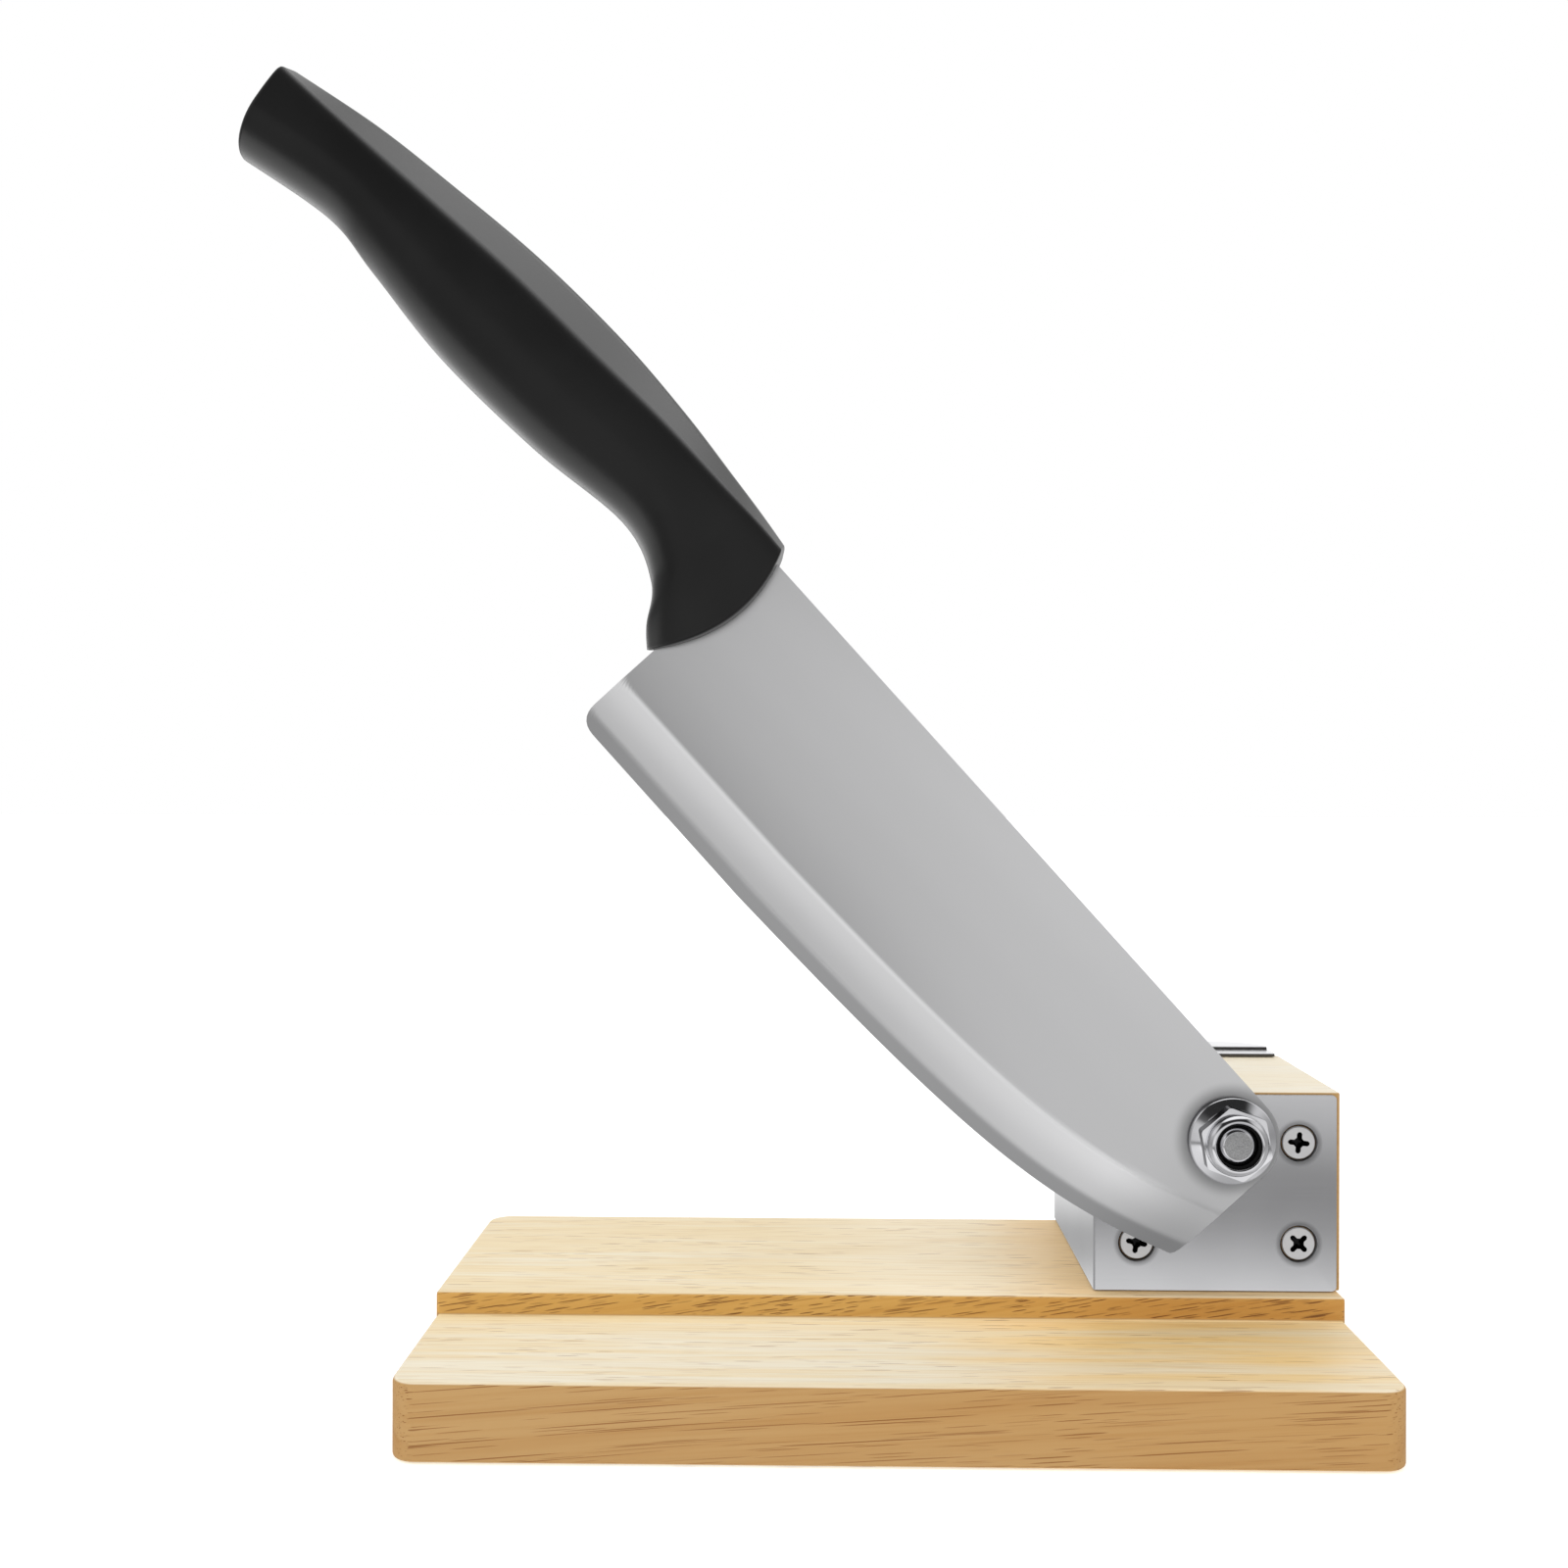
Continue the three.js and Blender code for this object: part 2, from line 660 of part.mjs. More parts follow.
function makeHandle() {
  const sized = ([reach, height]) => [reach * handleLength, height * handleHeight];
  const backCurve = splineOf(({ back }) => sized(back));
  const bellyCurve = splineOf(({ belly }) => sized(belly));
  const shapeCurve = splineOf(({ width, facet }) => [width, facet]);
  const middle = -bladeThickness / 2;
  const rings = [];
  for (let i = 0; i <= handleSteps; i += 1) {
    const t = i / handleSteps;
    const back = backCurve.getPoint(t);
    const belly = bellyCurve.getPoint(t);
    const shape = shapeCurve.getPoint(t);
    const frontWidth = frontLip + (1 - frontLip) * Math.min(1, t / lipBlend);
    const buttWidth = buttLip + (1 - buttLip) * Math.min(1, (1 - t) / lipBlend);
    const halfWidth = (handleThickness / 2) * shape.x * frontWidth * buttWidth;
    const frontCurve = frontBulge * Math.max(0, 1 - t / frontBlend);
    const buttCurve = buttBulge * Math.max(0, 1 - (1 - t) / buttBlend);
    const bulge = buttCurve - frontCurve;
    const half = gripSection(shape.y);
    const pointAt = (share, side) => {
      const reach = back.x + (belly.x - back.x) * share + bulge * 4 * share * (1 - share);
      const height = back.y + (belly.y - back.y) * share;
      return new THREE.Vector3(-heelReach - reach, middle + side * halfWidth, height);
    };
    const near = half.map(([share, width]) => pointAt(share, -width));
    const far = half.map(([share, width]) => pointAt(share, width)).reverse();
    rings.push([...near, pointAt(1, 0), ...far]);
  }
  const grip = solidOf(loft(rings));
  const slotFront = new THREE.BoxGeometry(
    heelReach,
    bladeThickness + 2 * tangGap,
    spineRise + edgeDrop + 2 * tangGap,
  );
  slotFront.translate(-heelReach / 2 - tangGap, middle, (spineRise - edgeDrop) / 2);
  const slotTang = new THREE.BoxGeometry(
    tangLength + heelReach,
    bladeThickness + 2 * tangGap,
    tangHeight + 2 * tangGap,
  );
  slotTang.translate(-(tangLength + heelReach) / 2 - tangGap, middle, 0);
  return geometryOf(cut(grip, [solidOf(slotFront), solidOf(slotTang)]));
}

// Finishes

const wood = () => new THREE.MeshStandardMaterial({ color: 0xe2c691, roughness: 0.6, metalness: 0 });
const satinSteel = () => new THREE.MeshStandardMaterial({ color: 0xb4b5b6, roughness: 0.35, metalness: 1 });
const brightSteel = () => new THREE.MeshStandardMaterial({ color: 0xd6d7d9, roughness: 0.15, metalness: 1 });
const blackPlastic = () => new THREE.MeshStandardMaterial({ color: 0x242424, roughness: 0.5, metalness: 0 });
const blackNylon = () => new THREE.MeshStandardMaterial({ color: 0x15161a, roughness: 0.55, metalness: 0 });

function piece(name, geometry, material) {
  const mesh = new THREE.Mesh(geometry, material);
  mesh.name = name;
  return mesh;
}

// Assembly

const base = new THREE.Group();
base.add(piece('base_board', makeBoard(), wood()));
base.add(piece('pivot_block', makeBlock(), wood()));
base.add(piece('block_cover', makeCover(), satinSteel()));
base.add(piece('rear_plate', makeRearPlate(), satinSteel()));

const screwSets = [
  [coverScrewSpots, coverScrewLength],
  [plateScrewSpots, plateScrewLength],
  [blockScrewSpots, blockScrewLength],
];
for (const [spots, length] of screwSets) {
  for (const { name, place, turn } of spots) {
    const screw = piece(name, screwGeometry(length), brightSteel());
    screw.position.set(...place);
    screw.rotation.set(...turn);
    base.add(screw);
  }
}

const pivot = new THREE.Group();
pivot.position.set(pivotX, 0, pivotZ);
const innerWasherNear = coverFace - seatGap - washerThickness;
const outerWasherNear = innerWasherNear - seatGap - washerThickness;
const washerRadius = washerDiameter / 2;
for (const [name, near] of [['washer_inner', innerWasherNear], ['washer_outer', outerWasherNear]]) {
  const washer = ring(boltHole, washerRadius, near, near + washerThickness);
  pivot.add(piece(name, geometryOf(solidOf(washer)), satinSteel()));
}
pivot.add(piece('pivot_bolt', makeBolt(), brightSteel()));
const nut = piece('flange_nut', makeNut(), brightSteel());
nut.rotation.y = THREE.MathUtils.degToRad(nutTurn);
pivot.add(nut);
pivot.add(piece('nut_insert', geometryOf(solidOf(makeNutInsert())), blackNylon()));

const knife = new THREE.Group();
knife.position.set(pivotX, bladeBack, pivotZ);
knife.rotation.y = THREE.MathUtils.degToRad(raisedAngle);
knife.add(piece('blade', makeBlade(), satinSteel()));
knife.add(piece('handle', makeHandle(), blackPlastic()));

const slicer = new THREE.Group();
slicer.add(base, pivot, knife);

export default slicer;
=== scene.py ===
import json
from math import cos, hypot, inf, pi, radians, sin, sqrt

import bmesh
import bpy
from mathutils import Matrix, Vector


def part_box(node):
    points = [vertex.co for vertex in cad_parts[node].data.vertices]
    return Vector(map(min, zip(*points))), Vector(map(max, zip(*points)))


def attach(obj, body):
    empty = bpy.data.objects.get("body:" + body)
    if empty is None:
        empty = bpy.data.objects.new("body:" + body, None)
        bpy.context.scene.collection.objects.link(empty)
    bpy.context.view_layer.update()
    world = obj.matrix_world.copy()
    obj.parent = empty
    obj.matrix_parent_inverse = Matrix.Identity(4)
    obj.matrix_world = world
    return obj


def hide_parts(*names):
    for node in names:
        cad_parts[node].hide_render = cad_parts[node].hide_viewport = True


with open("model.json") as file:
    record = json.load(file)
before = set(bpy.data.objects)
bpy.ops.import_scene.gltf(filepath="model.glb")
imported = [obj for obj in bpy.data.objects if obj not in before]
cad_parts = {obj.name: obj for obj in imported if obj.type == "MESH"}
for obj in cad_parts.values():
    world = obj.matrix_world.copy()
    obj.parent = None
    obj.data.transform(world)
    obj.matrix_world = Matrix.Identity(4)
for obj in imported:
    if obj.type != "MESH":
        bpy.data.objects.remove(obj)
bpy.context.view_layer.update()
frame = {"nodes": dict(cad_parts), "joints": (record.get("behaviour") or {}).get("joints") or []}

MM = 0.001


def linear(red, green, blue):
    """A colour from its 8-bit display values."""
    def channel(value):
        share = value / 255
        return share / 12.92 if share <= 0.04045 else ((share + 0.055) / 1.055) ** 2.4
    return (channel(red), channel(green), channel(blue), 1)


# How far cutters reach past what they cut
PAST = 5
JUST_PAST = 1

# Wood
WOOD_EDGE = 0.8
BLOCK_EDGE = 0.4
BOARD_CORNER = 5
BLOCK_CORNER = 13
LOWER_DECK_DEPTH = 42
STEP_HEIGHT = 5
EDGE_GRAIN_CLIMB = 4
DECK_GRAIN_CLIMB = 1.2
STEP_GRAIN_SLOPE = -0.09
PITH = (14, -55)

# Places along X, Y or Z over which one tone of the wood fades into another
SHELF_Z = (15.2, 15.6)
STEP_Y = (-10.5, -11.2)
NEAR_STEP_Y = (-42, -16)
BELOW_STEP_Y = (-19, -11.5)
UPPER_DECK_Y = (-13, -8)
# The next two: where painted light, and amber that is partly painted light, fade in on the upper deck
# towards the block
PAINTED_LIGHT_X = (-30, 20)
AMBER_AND_LIGHT_X = (20, 43)
DARK_STEP_X = (20, 60)
HEART_LEFT_X = (-2, 36)
HEART_RIGHT_X = (74, 96)
HEART_DECK_Y = (-10, -14)
HEART_FRONT_Y = (-38, -53)

# Tones of the wood
FACE_PALE = linear(236, 226, 203)
FACE_WARM = linear(234, 215, 176)
FACE_GLOW = linear(244, 222, 164)
FACE_HEART = linear(242, 206, 140)
# Painted light for the upper deck near the block, then an amber that is partly the wood's warmth and
# partly painted light
FACE_PAINTED_LIGHT = linear(248, 234, 206)
FACE_AMBER_AND_LIGHT = linear(248, 205, 140)
BLOCK_PALE = linear(232, 226, 211)
BLOCK_WARM = linear(231, 220, 196)
# Sawn edges: darker and warmer than the broad faces, partly their own colour and partly painted shade
SHADED_EDGE_PALE = linear(186, 148, 95)
SHADED_EDGE_WARM = linear(184, 143, 87)
STEP_PALE = linear(214, 168, 92)
STEP_DARK = linear(200, 148, 74)
RING_TONE = linear(226, 200, 150)
FIBRE_TONE = linear(222, 192, 138)
HAIR_TONE = linear(226, 205, 164)
END_TONE = linear(186, 140, 82)
EDGE_PORE_TONE = linear(132, 82, 34)
STEP_PORE_TONE = linear(100, 54, 18)
FACE_PORE_TONE = linear(128, 62, 8)

# Steels: tint, roughness, stretch of the grinding lines along each axis, their depth, share of metal
GROUND_LINES = (0.02, 0.6, 2.5)
STEELS = {
    "satin": (linear(212, 212, 214), 0.12, GROUND_LINES, 0.004, 1),
    "bright": (linear(226, 226, 229), 0.1, (0.4, 0.4, 0.4), 0.02, 1),
    # A darker copy of the bright steel, as painted shade on the nut's hexagon flats
    "shaded_flats": (linear(96, 96, 98), 0.14, (0.4, 0.4, 0.4), 0.02, 1),
    "screw": (linear(212, 212, 213), 0.34, (2, 2, 2), 0.12, 0.8),
    # Near-black painted shade inside the screws' cross recesses
    "recess": (linear(30, 30, 31), 0.35, (0.8, 0.8, 0.8), 0.04, 1),
    "plate": (linear(214, 214, 216), 0.34, GROUND_LINES, 0.01, 1),
    # Cut sheet edges, darker partly as their own finish and partly as painted shade
    "sheared_and_shaded": (linear(92, 90, 88), 0.45, (0.5, 1.5, 1.5), 0.04, 1),
}
CUT_DARK = linear(128, 128, 128)
CUT_LIGHT = linear(204, 204, 205)
BLADE_BRIGHT = linear(245, 245, 246)
BLADE_DULL = linear(120, 120, 121)
# Painted shadow on the blade round the nut's flange: its tone and width
NUT_SHADOW_TONE = linear(92, 92, 93)
NUT_SHADOW_WIDTH = 3.5
# Width of the painted shade ring round each screw on the cover
SCREW_SHADE_WIDTH = 1.3

# Matt surfaces: tint, roughness, specular level
MATTS = {
    "black_plastic": (linear(19, 19, 19), 0.36, 0.22),
    "dull_plastic": (linear(19, 19, 19), 0.6, 0.06),
    # Near-black painted shade lining the block's bored holes
    "shaded_bore": (linear(19, 15, 12), 0.8, 0.1),
    "black_nylon": (linear(8, 8, 9), 0.55, 0.12),
}

# Folded sheet
SHEET = 0.8
SHEET_EDGE = 0.12
PLATE_EDGE = 0.28
TAB_EDGE = 0.5
FOLD_INSIDE = 0.2
FOLD_OUTSIDE = 0.6
COVER_CORNER = 1.2
COVER_LIFT = 0.15
COVER_TRIM = 0.5
PLATE_INSET = 1.6
TAB_DEPTH = 14.5
HEM_DEPTH = 9

# Screws
SCREW_KINDS = ("cover_screw_", "plate_screw_", "block_screw_")
SCREW_DIAMETER = 3.8
SCREW_HEAD = 7
SCREW_FACE = 6.7
SCREW_HEAD_HEIGHT = 2.6
SCREW_SINK = 0.3
SCREW_RIM = 0.3
SCREW_BAND = 0.15
SCREW_ROUND = 0.14
SCREW_POINT = 3.5
COUNTERSINK = 7.8
COUNTERSINK_EASE = 0.1
PILOT_GAP = 0.15
CROSS_LENGTH = 4.5
CROSS_WIDTH = 1.1
CROSS_POINT = 0.4
CROSS_CENTRE = 1.55
CROSS_DEPTH = 1.7
CROSS_TAPER = 0.45
SCREW_TURN = 20
COVER_SCREW_TURNS = {"top_left": 30, "top_right": 6, "bottom_left": 12, "bottom_right": 45}

# Pivot
BOLT_DIAMETER = 8
BOLT_CHAMFER = 1
BOLT_CHAMFER_DEPTH = 0.7
HEAD_ACROSS_FLATS = 13
HEAD_HEIGHT = 5.3
HEAD_EDGE = 0.3
SHANK_EDGE = 0.2
RUNNING_GAP = 0.25
BOLT_HOLE_RADIUS = BOLT_DIAMETER / 2 + RUNNING_GAP
WASHER_EDGE = 0.3
NUT_ACROSS_FLATS = 13.4
NUT_TURN = -10
FLANGE_DIAMETER = 17.9
FLANGE_RIM = 1.1
FLANGE_HEIGHT = 2.05
FLANGE_EDGE = 0.35
HEX_HEIGHT = 5
HEX_CORNER = 0.6
HEX_FACE = 0.95
HEX_CHAMFER = 0.17
HEX_EDGE = 0.2
COLLAR_DIAMETER = 12.4
COLLAR_MOUTH = 9.4
COLLAR_RIM = 0.7
COLLAR_GROOVE = 0.28
COLLAR_ROUND = 1.3
INSERT_DIAMETER = 10.4
INSERT_THICKNESS = 1.6
INSERT_EDGE = 0.3

# Blade, from the pivot with the knife level: -X along the blade and +Z towards its back
RAISED_ANGLE = 47.9
BLADE_THICKNESS = 2
SPINE_RISE = 10
EDGE_DROP = 42.4
TIP_DROP = 25.6
TIP_RADIUS = 1.6
HEEL_REACH = 155.5
HEEL_RADIUS = 4.6
STRAIGHT_EDGE = 45
TIP_PULL = (88, 4.2)
STRAIGHT_PULL = (65, 1.8)
BEVEL_WIDTH = 12
EDGE_BAND = 3.2
EDGE_BAND_SHARE = 0.45
EDGE_THICKNESS = 0.4
BEVEL_BOW = 0.25
SHOULDER_DEPTH = 0.05
HOLLOW_DEPTH = 0.3
TANG_LENGTH = 78.4
TANG_HEIGHT = 11.2

# Blade's mesh: columns along it, and rows at these distances from the edge and then evenly to the back
BLADE_COLUMNS = 170
NEAR_ROWS = [
    0, 0.6, 1.2, 1.8, 2.4, 2.8, 3.2, 3.6, 4, 4.6, 5.5, 6.5, 7.5, 8.5, 9.5, 10.5,
    11, 11.3, 11.6, 11.9, 12.2, 12.5, 12.9, 13.6, 14.6, 16,
]
FAR_ROWS = 14

# Blade's painted light and shade, as shares of the bright tint
EDGE_TONE = 0.24
BAND_RISE = 0.36
BEVEL_RISE = 0.29
SHOULDER_PAINTED_HIGHLIGHT = 0.11
BEVEL_TIP_PAINTED_SHADE = 0.54
BEVEL_TIP_X = (-14, 8)
FACE_LOW = 0.63
FACE_HEEL_PAINTED_SHADE = 0.22
FACE_HEEL_X = (-20, -100)
FACE_HIGH = 0.715
FACE_TIP_PAINTED_SHADE = 0.15
FACE_TIP_X = (-10, 8)
BACK_TONE = 0.6

# Handle: its back and belly from front to butt, as reach behind the heel and height above the pivot
HANDLE_THICKNESS = 22
FRONT_BULGE = 5.6
BUTT_BULGE = 0.3
FRONT_BLEND = 0.16
BUTT_BLEND = 0.12
FRONT_ROUND = 1.3
BUTT_ROUND = 1.7
HANDLE_GAP = 0.05
GRIP_BACK = [
    (-2.4, 13.6), (6, 14.6), (16, 15.5), (32, 16.8), (52, 17.3),
    (76, 15.9), (100, 12.6), (120, 9.2), (140.2, 4),
]
GRIP_BELLY = [
    (1, -22.2), (5, -18.8), (11, -12), (24, -8.1), (48, -11.6),
    (75, -13.4), (98, -12), (113, -11.2), (135.2, -16.4),
]
GRIP_WIDTH = [0.66, 0.76, 0.86, 0.93, 1, 1, 0.95, 0.89, 0.88]
GRIP_FACET = [0.04, 0.07, 0.13, 0.21, 0.25, 0.25, 0.26, 0.24, 0.08]
GRIP_EASE = 0.1
BACK_FLAT = 0.24
FACET_WIDTH = 0.93
SIDE_WIDTH = 0.985
BELLY_START = 0.52
BELLY_STEPS = 10
GRIP_STEPS = 90
RIM_STEPS = 6
CAP_SHARES = (0.25, 0.5, 0.75, 0.97)

# Camera
FOCAL_PIXELS = 1800
IMAGE_PIXELS = 1600
SENSOR_WIDTH = 36
CAMERA_PLACE = (-14.66, -380.43, 127.1)
CAMERA_YAW = -1.148
CAMERA_PITCH = -0.064
CAMERA_ROLL = 0.11

# Studio: the floor, an even fill, a sun, and softboxes by direction from the handle,
# width, length from front to rear and power
FLOOR_HALF = 6000
FLOOR_DROP = 0.3
FLOOR_GLOW = 0.34
FILL = 0.62
SUN_POWER = 1.5
SUN_ANGLE = 110
SUN_TILT = (20, -8, 0)
SOFTBOXES = [
    ("softbox_right", (0.57, 0.05, 0.82), 0.6, 0.7, 5.2),
    ("softbox_left", (-0.78, 0.34, -0.53), 0.65, 1.5, 9),
]
SOFTBOX_DISTANCE = 0.8
GRIP_CENTRE = Vector((-0.12, -0.014, 0.22))

# Brightness seen in steel by height above the horizon in degrees: before, behind and beside the object
FRONT_BANDS = [
    (-90, 0.4), (-58, 0.5), (-42, 0.84), (-28, 0.93), (-16.4, 1.1), (-12.8, 0.14), (-9, 0.9),
    (0, 0.85), (9, 0.7), (16, 0.12), (24, 0.03), (54, 0.02), (66, 1.0), (90, 1.3),
]
REAR_BANDS = [
    (-90, 0.5), (-40, 0.6), (-22, 0.85), (-16.6, 1.05), (-14.3, 0.42), (-12.4, 1.05),
    (-5, 1.15), (5, 1.35), (22, 1.35), (40, 1.2), (90, 1.25),
]
SIDE_BANDS = [
    (-90, 0.5), (-40, 0.62), (-20, 0.5), (-5, 0.36), (8, 0.45), (25, 0.8), (50, 0.6), (90, 1.0),
]
REAR_SPAN = (-0.1, 0.2)
SIDE_SPAN = (0.45, 0.7)


# Places

def place_of(node):
    """Lowest and highest corner of a CAD node, in millimetres."""
    low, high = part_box(node)
    return low / MM, high / MM


def shift(*place):
    """A move to a place in millimetres."""
    return Matrix.Translation(Vector(place) * MM)


def turn(degrees, axis):
    return Matrix.Rotation(radians(degrees), 4, axis)


PIVOT = Vector(frame["joints"][0]["pos_m"]) / MM
PIVOT_FRAME = shift(PIVOT.x, 0, PIVOT.z)
KNIFE_FRAME = shift(PIVOT.x, place_of("blade")[1].y, PIVOT.z) @ turn(RAISED_ANGLE, "Y")


# Outlines

def arc(x, y, radius, start, end, steps=8):
    """Points on an arc, with its angles in degrees."""
    angles = [radians(start + (end - start) * i / steps) for i in range(steps + 1)]
    return [(x + radius * cos(a), y + radius * sin(a)) for a in angles]


def bezier(points, t):
    """A point at share t of a curve that is pulled by a line of points."""
    while len(points) > 1:
        points = [a.lerp(b, t) for a, b in zip(points, points[1:])]
    return points[0]


def bend(steps, *points):
    """Points at even shares of a curve that is pulled by a line of points."""
    return [bezier(points, i / steps) for i in range(steps + 1)]


def eased(points, radius, steps=4, closed=False):
    """A line of points with its corners rounded to about a radius."""
    result = []
    last = len(points) - 1
    for i, point in enumerate(points):
        if not closed and i in (0, last):
            result.append(tuple(point))
            continue
        corner = Vector(point)
        before = Vector(points[i - 1]) - corner
        after = Vector(points[(i + 1) % len(points)]) - corner
        start = corner + before.normalized() * min(radius, before.length * 0.49)
        end = corner + after.normalized() * min(radius, after.length * 0.49)
        result += [tuple(p) for p in bend(steps, start, corner, end)]
    return result


def curve_through(points, t):
    """A point at share t of a smooth line through points, numbers or tuples alike."""
    vectors = [Vector(p) if isinstance(p, tuple) else Vector((p, 0)) for p in points]
    spans = len(vectors) - 1
    i = min(int(t * spans), spans - 1)
    s = t * spans - i
    p1, p2 = vectors[i], vectors[i + 1]
    p0 = vectors[i - 1] if i > 0 else p1
    p3 = vectors[i + 2] if i + 2 <= spans else p2
    return bezier([p1, p1 + (p2 - p0) / 6, p2 - (p3 - p1) / 6, p2], s)


def rod(radius, near, far):
    """Half the outline of a plain rod, for the lathe."""
    return [(0, near), (radius, near), (radius, far), (0, far)]


# Solids

def solid(faces):
    """A closed mesh from faces, each a list of points."""
    bm = bmesh.new()
    for face in faces:
        bm.faces.new([bm.verts.new(point) for point in face])
    bmesh.ops.remove_doubles(bm, verts=bm.verts, dist=1e-4)
    bmesh.ops.recalc_face_normals(bm, faces=bm.faces)
    return bm


def upright(a, b, along):
    return (a, b, along)


def facing(a, b, along):
    return (a, along, b)


def crosswise(a, b, along):
    return (along, a, b)


def prism(outline, lift, near, far):
    """An outline of pairs, carried from near to far along the axis that lift gives."""
    start = [lift(a, b, near) for a, b in outline]
    end = [lift(a, b, far) for a, b in outline]
    sides = [[start[i - 1], start[i], end[i], end[i - 1]] for i in range(len(outline))]
    return solid([start, end, *sides])


def lathe(profile, segments=64, closed=False):
    """A solid turned about the Y axis, from pairs of a radius and a place along Y."""
    bm = bmesh.new()
    turns = [2 * pi * i / segments for i in range(segments)]
    rings = []
    for radius, along in profile:
        spots = turns if radius > 0 else [0]
        rings.append([bm.verts.new((radius * sin(a), along, radius * cos(a))) for a in spots])
    pairs = list(zip(rings, rings[1:])) + ([(rings[-1], rings[0])] if closed else [])
    for near, far in pairs:
        for i in range(segments):
            j = (i + 1) % segments
            corners = [near[i % len(near)], near[j % len(near)], far[j % len(far)], far[i % len(far)]]
            unique = list(dict.fromkeys(corners))
            if len(unique) > 2:
                bm.faces.new(unique)
    bmesh.ops.recalc_face_normals(bm, faces=bm.faces)
    return bm


def skin(rings):
    """A closed mesh over rings of points with the same count, ending in a point at both ends."""
    bm = bmesh.new()
    rows = [[bm.verts.new(point) for point in ring] for ring in rings]
    count = len(rows[0])
    for near, far in zip(rows, rows[1:]):
        for i in range(count):
            bm.faces.new([near[i - 1], near[i], far[i], far[i - 1]])
    for row in (rows[0], rows[-1]):
        centre = bm.verts.new(sum((v.co for v in row), Vector()) / count)
        for i in range(count):
            bm.faces.new([row[i - 1], row[i], centre])
    bmesh.ops.recalc_face_normals(bm, faces=bm.faces)
    return bm


def new_object(name, data):
    made = bpy.data.objects.new(name, data)
    bpy.context.scene.collection.objects.link(made)
    return made


def placed(name, bm, matrix=Matrix.Identity(4)):
    """A new object from a mesh in millimetres."""
    bm.transform(Matrix.Scale(MM, 4))
    mesh = bpy.data.meshes.new(name)
    bm.to_mesh(mesh)
    bm.free()
    piece = new_object(name, mesh)
    piece.matrix_world = matrix
    return piece


def on_pivot(name, profile, segments, closed=False):
    """A new object turned about the pivot's axis."""
    return placed(name, lathe(profile, segments, closed), PIVOT_FRAME)


def settle(piece):
    """Turns a piece's modifiers into its own mesh."""
    bpy.context.view_layer.update()
    graph = bpy.context.evaluated_depsgraph_get()
    made = bpy.data.meshes.new_from_object(piece.evaluated_get(graph))
    old = piece.data
    piece.modifiers.clear()
    piece.data = made
    if old.users == 0:
        bpy.data.meshes.remove(old)


def combine(piece, others, operation="DIFFERENCE"):
    """Cuts, joins or keeps what a piece shares with the other solids, which are used up."""
    for other in others:
        modifier = piece.modifiers.new("combine", "BOOLEAN")
        modifier.operation = operation
        modifier.solver = "EXACT"
        modifier.material_mode = "TRANSFER"
        modifier.object = other
        settle(piece)
        mesh = other.data
        bpy.data.objects.remove(other)
        if mesh.users == 0:
            bpy.data.meshes.remove(mesh)


def soften(piece, width, segments=3, angle=40):
    """Rounds a piece's sharp edges."""
    modifier = piece.modifiers.new("soften", "BEVEL")
    modifier.width = width * MM
    modifier.segments = segments
    modifier.limit_method = "ANGLE"
    modifier.angle_limit = radians(angle)
    settle(piece)


def paint(piece, material, other, chosen):
    """Gives a piece one material, and another to the faces chosen by their centre in mm and normal."""
    mesh = piece.data
    mesh.materials.clear()
    mesh.materials.append(material)
    mesh.materials.append(other)
    for face in mesh.polygons:
        face.material_index = int(chosen(face.center / MM, face.normal))


def finish(piece, node, body, material, crease=35):
    """Shades a piece, gives it its material and sets it on its body in place of a CAD node."""
    mesh = piece.data
    mesh.shade_smooth()
    mesh.set_sharp_from_angle(angle=radians(crease))
    weighted = piece.modifiers.new("normals", "WEIGHTED_NORMAL")
    weighted.keep_sharp = True
    if material is not None:
        mesh.materials.clear()
        mesh.materials.append(material)
    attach(piece, body)
    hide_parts(node)


# Materials

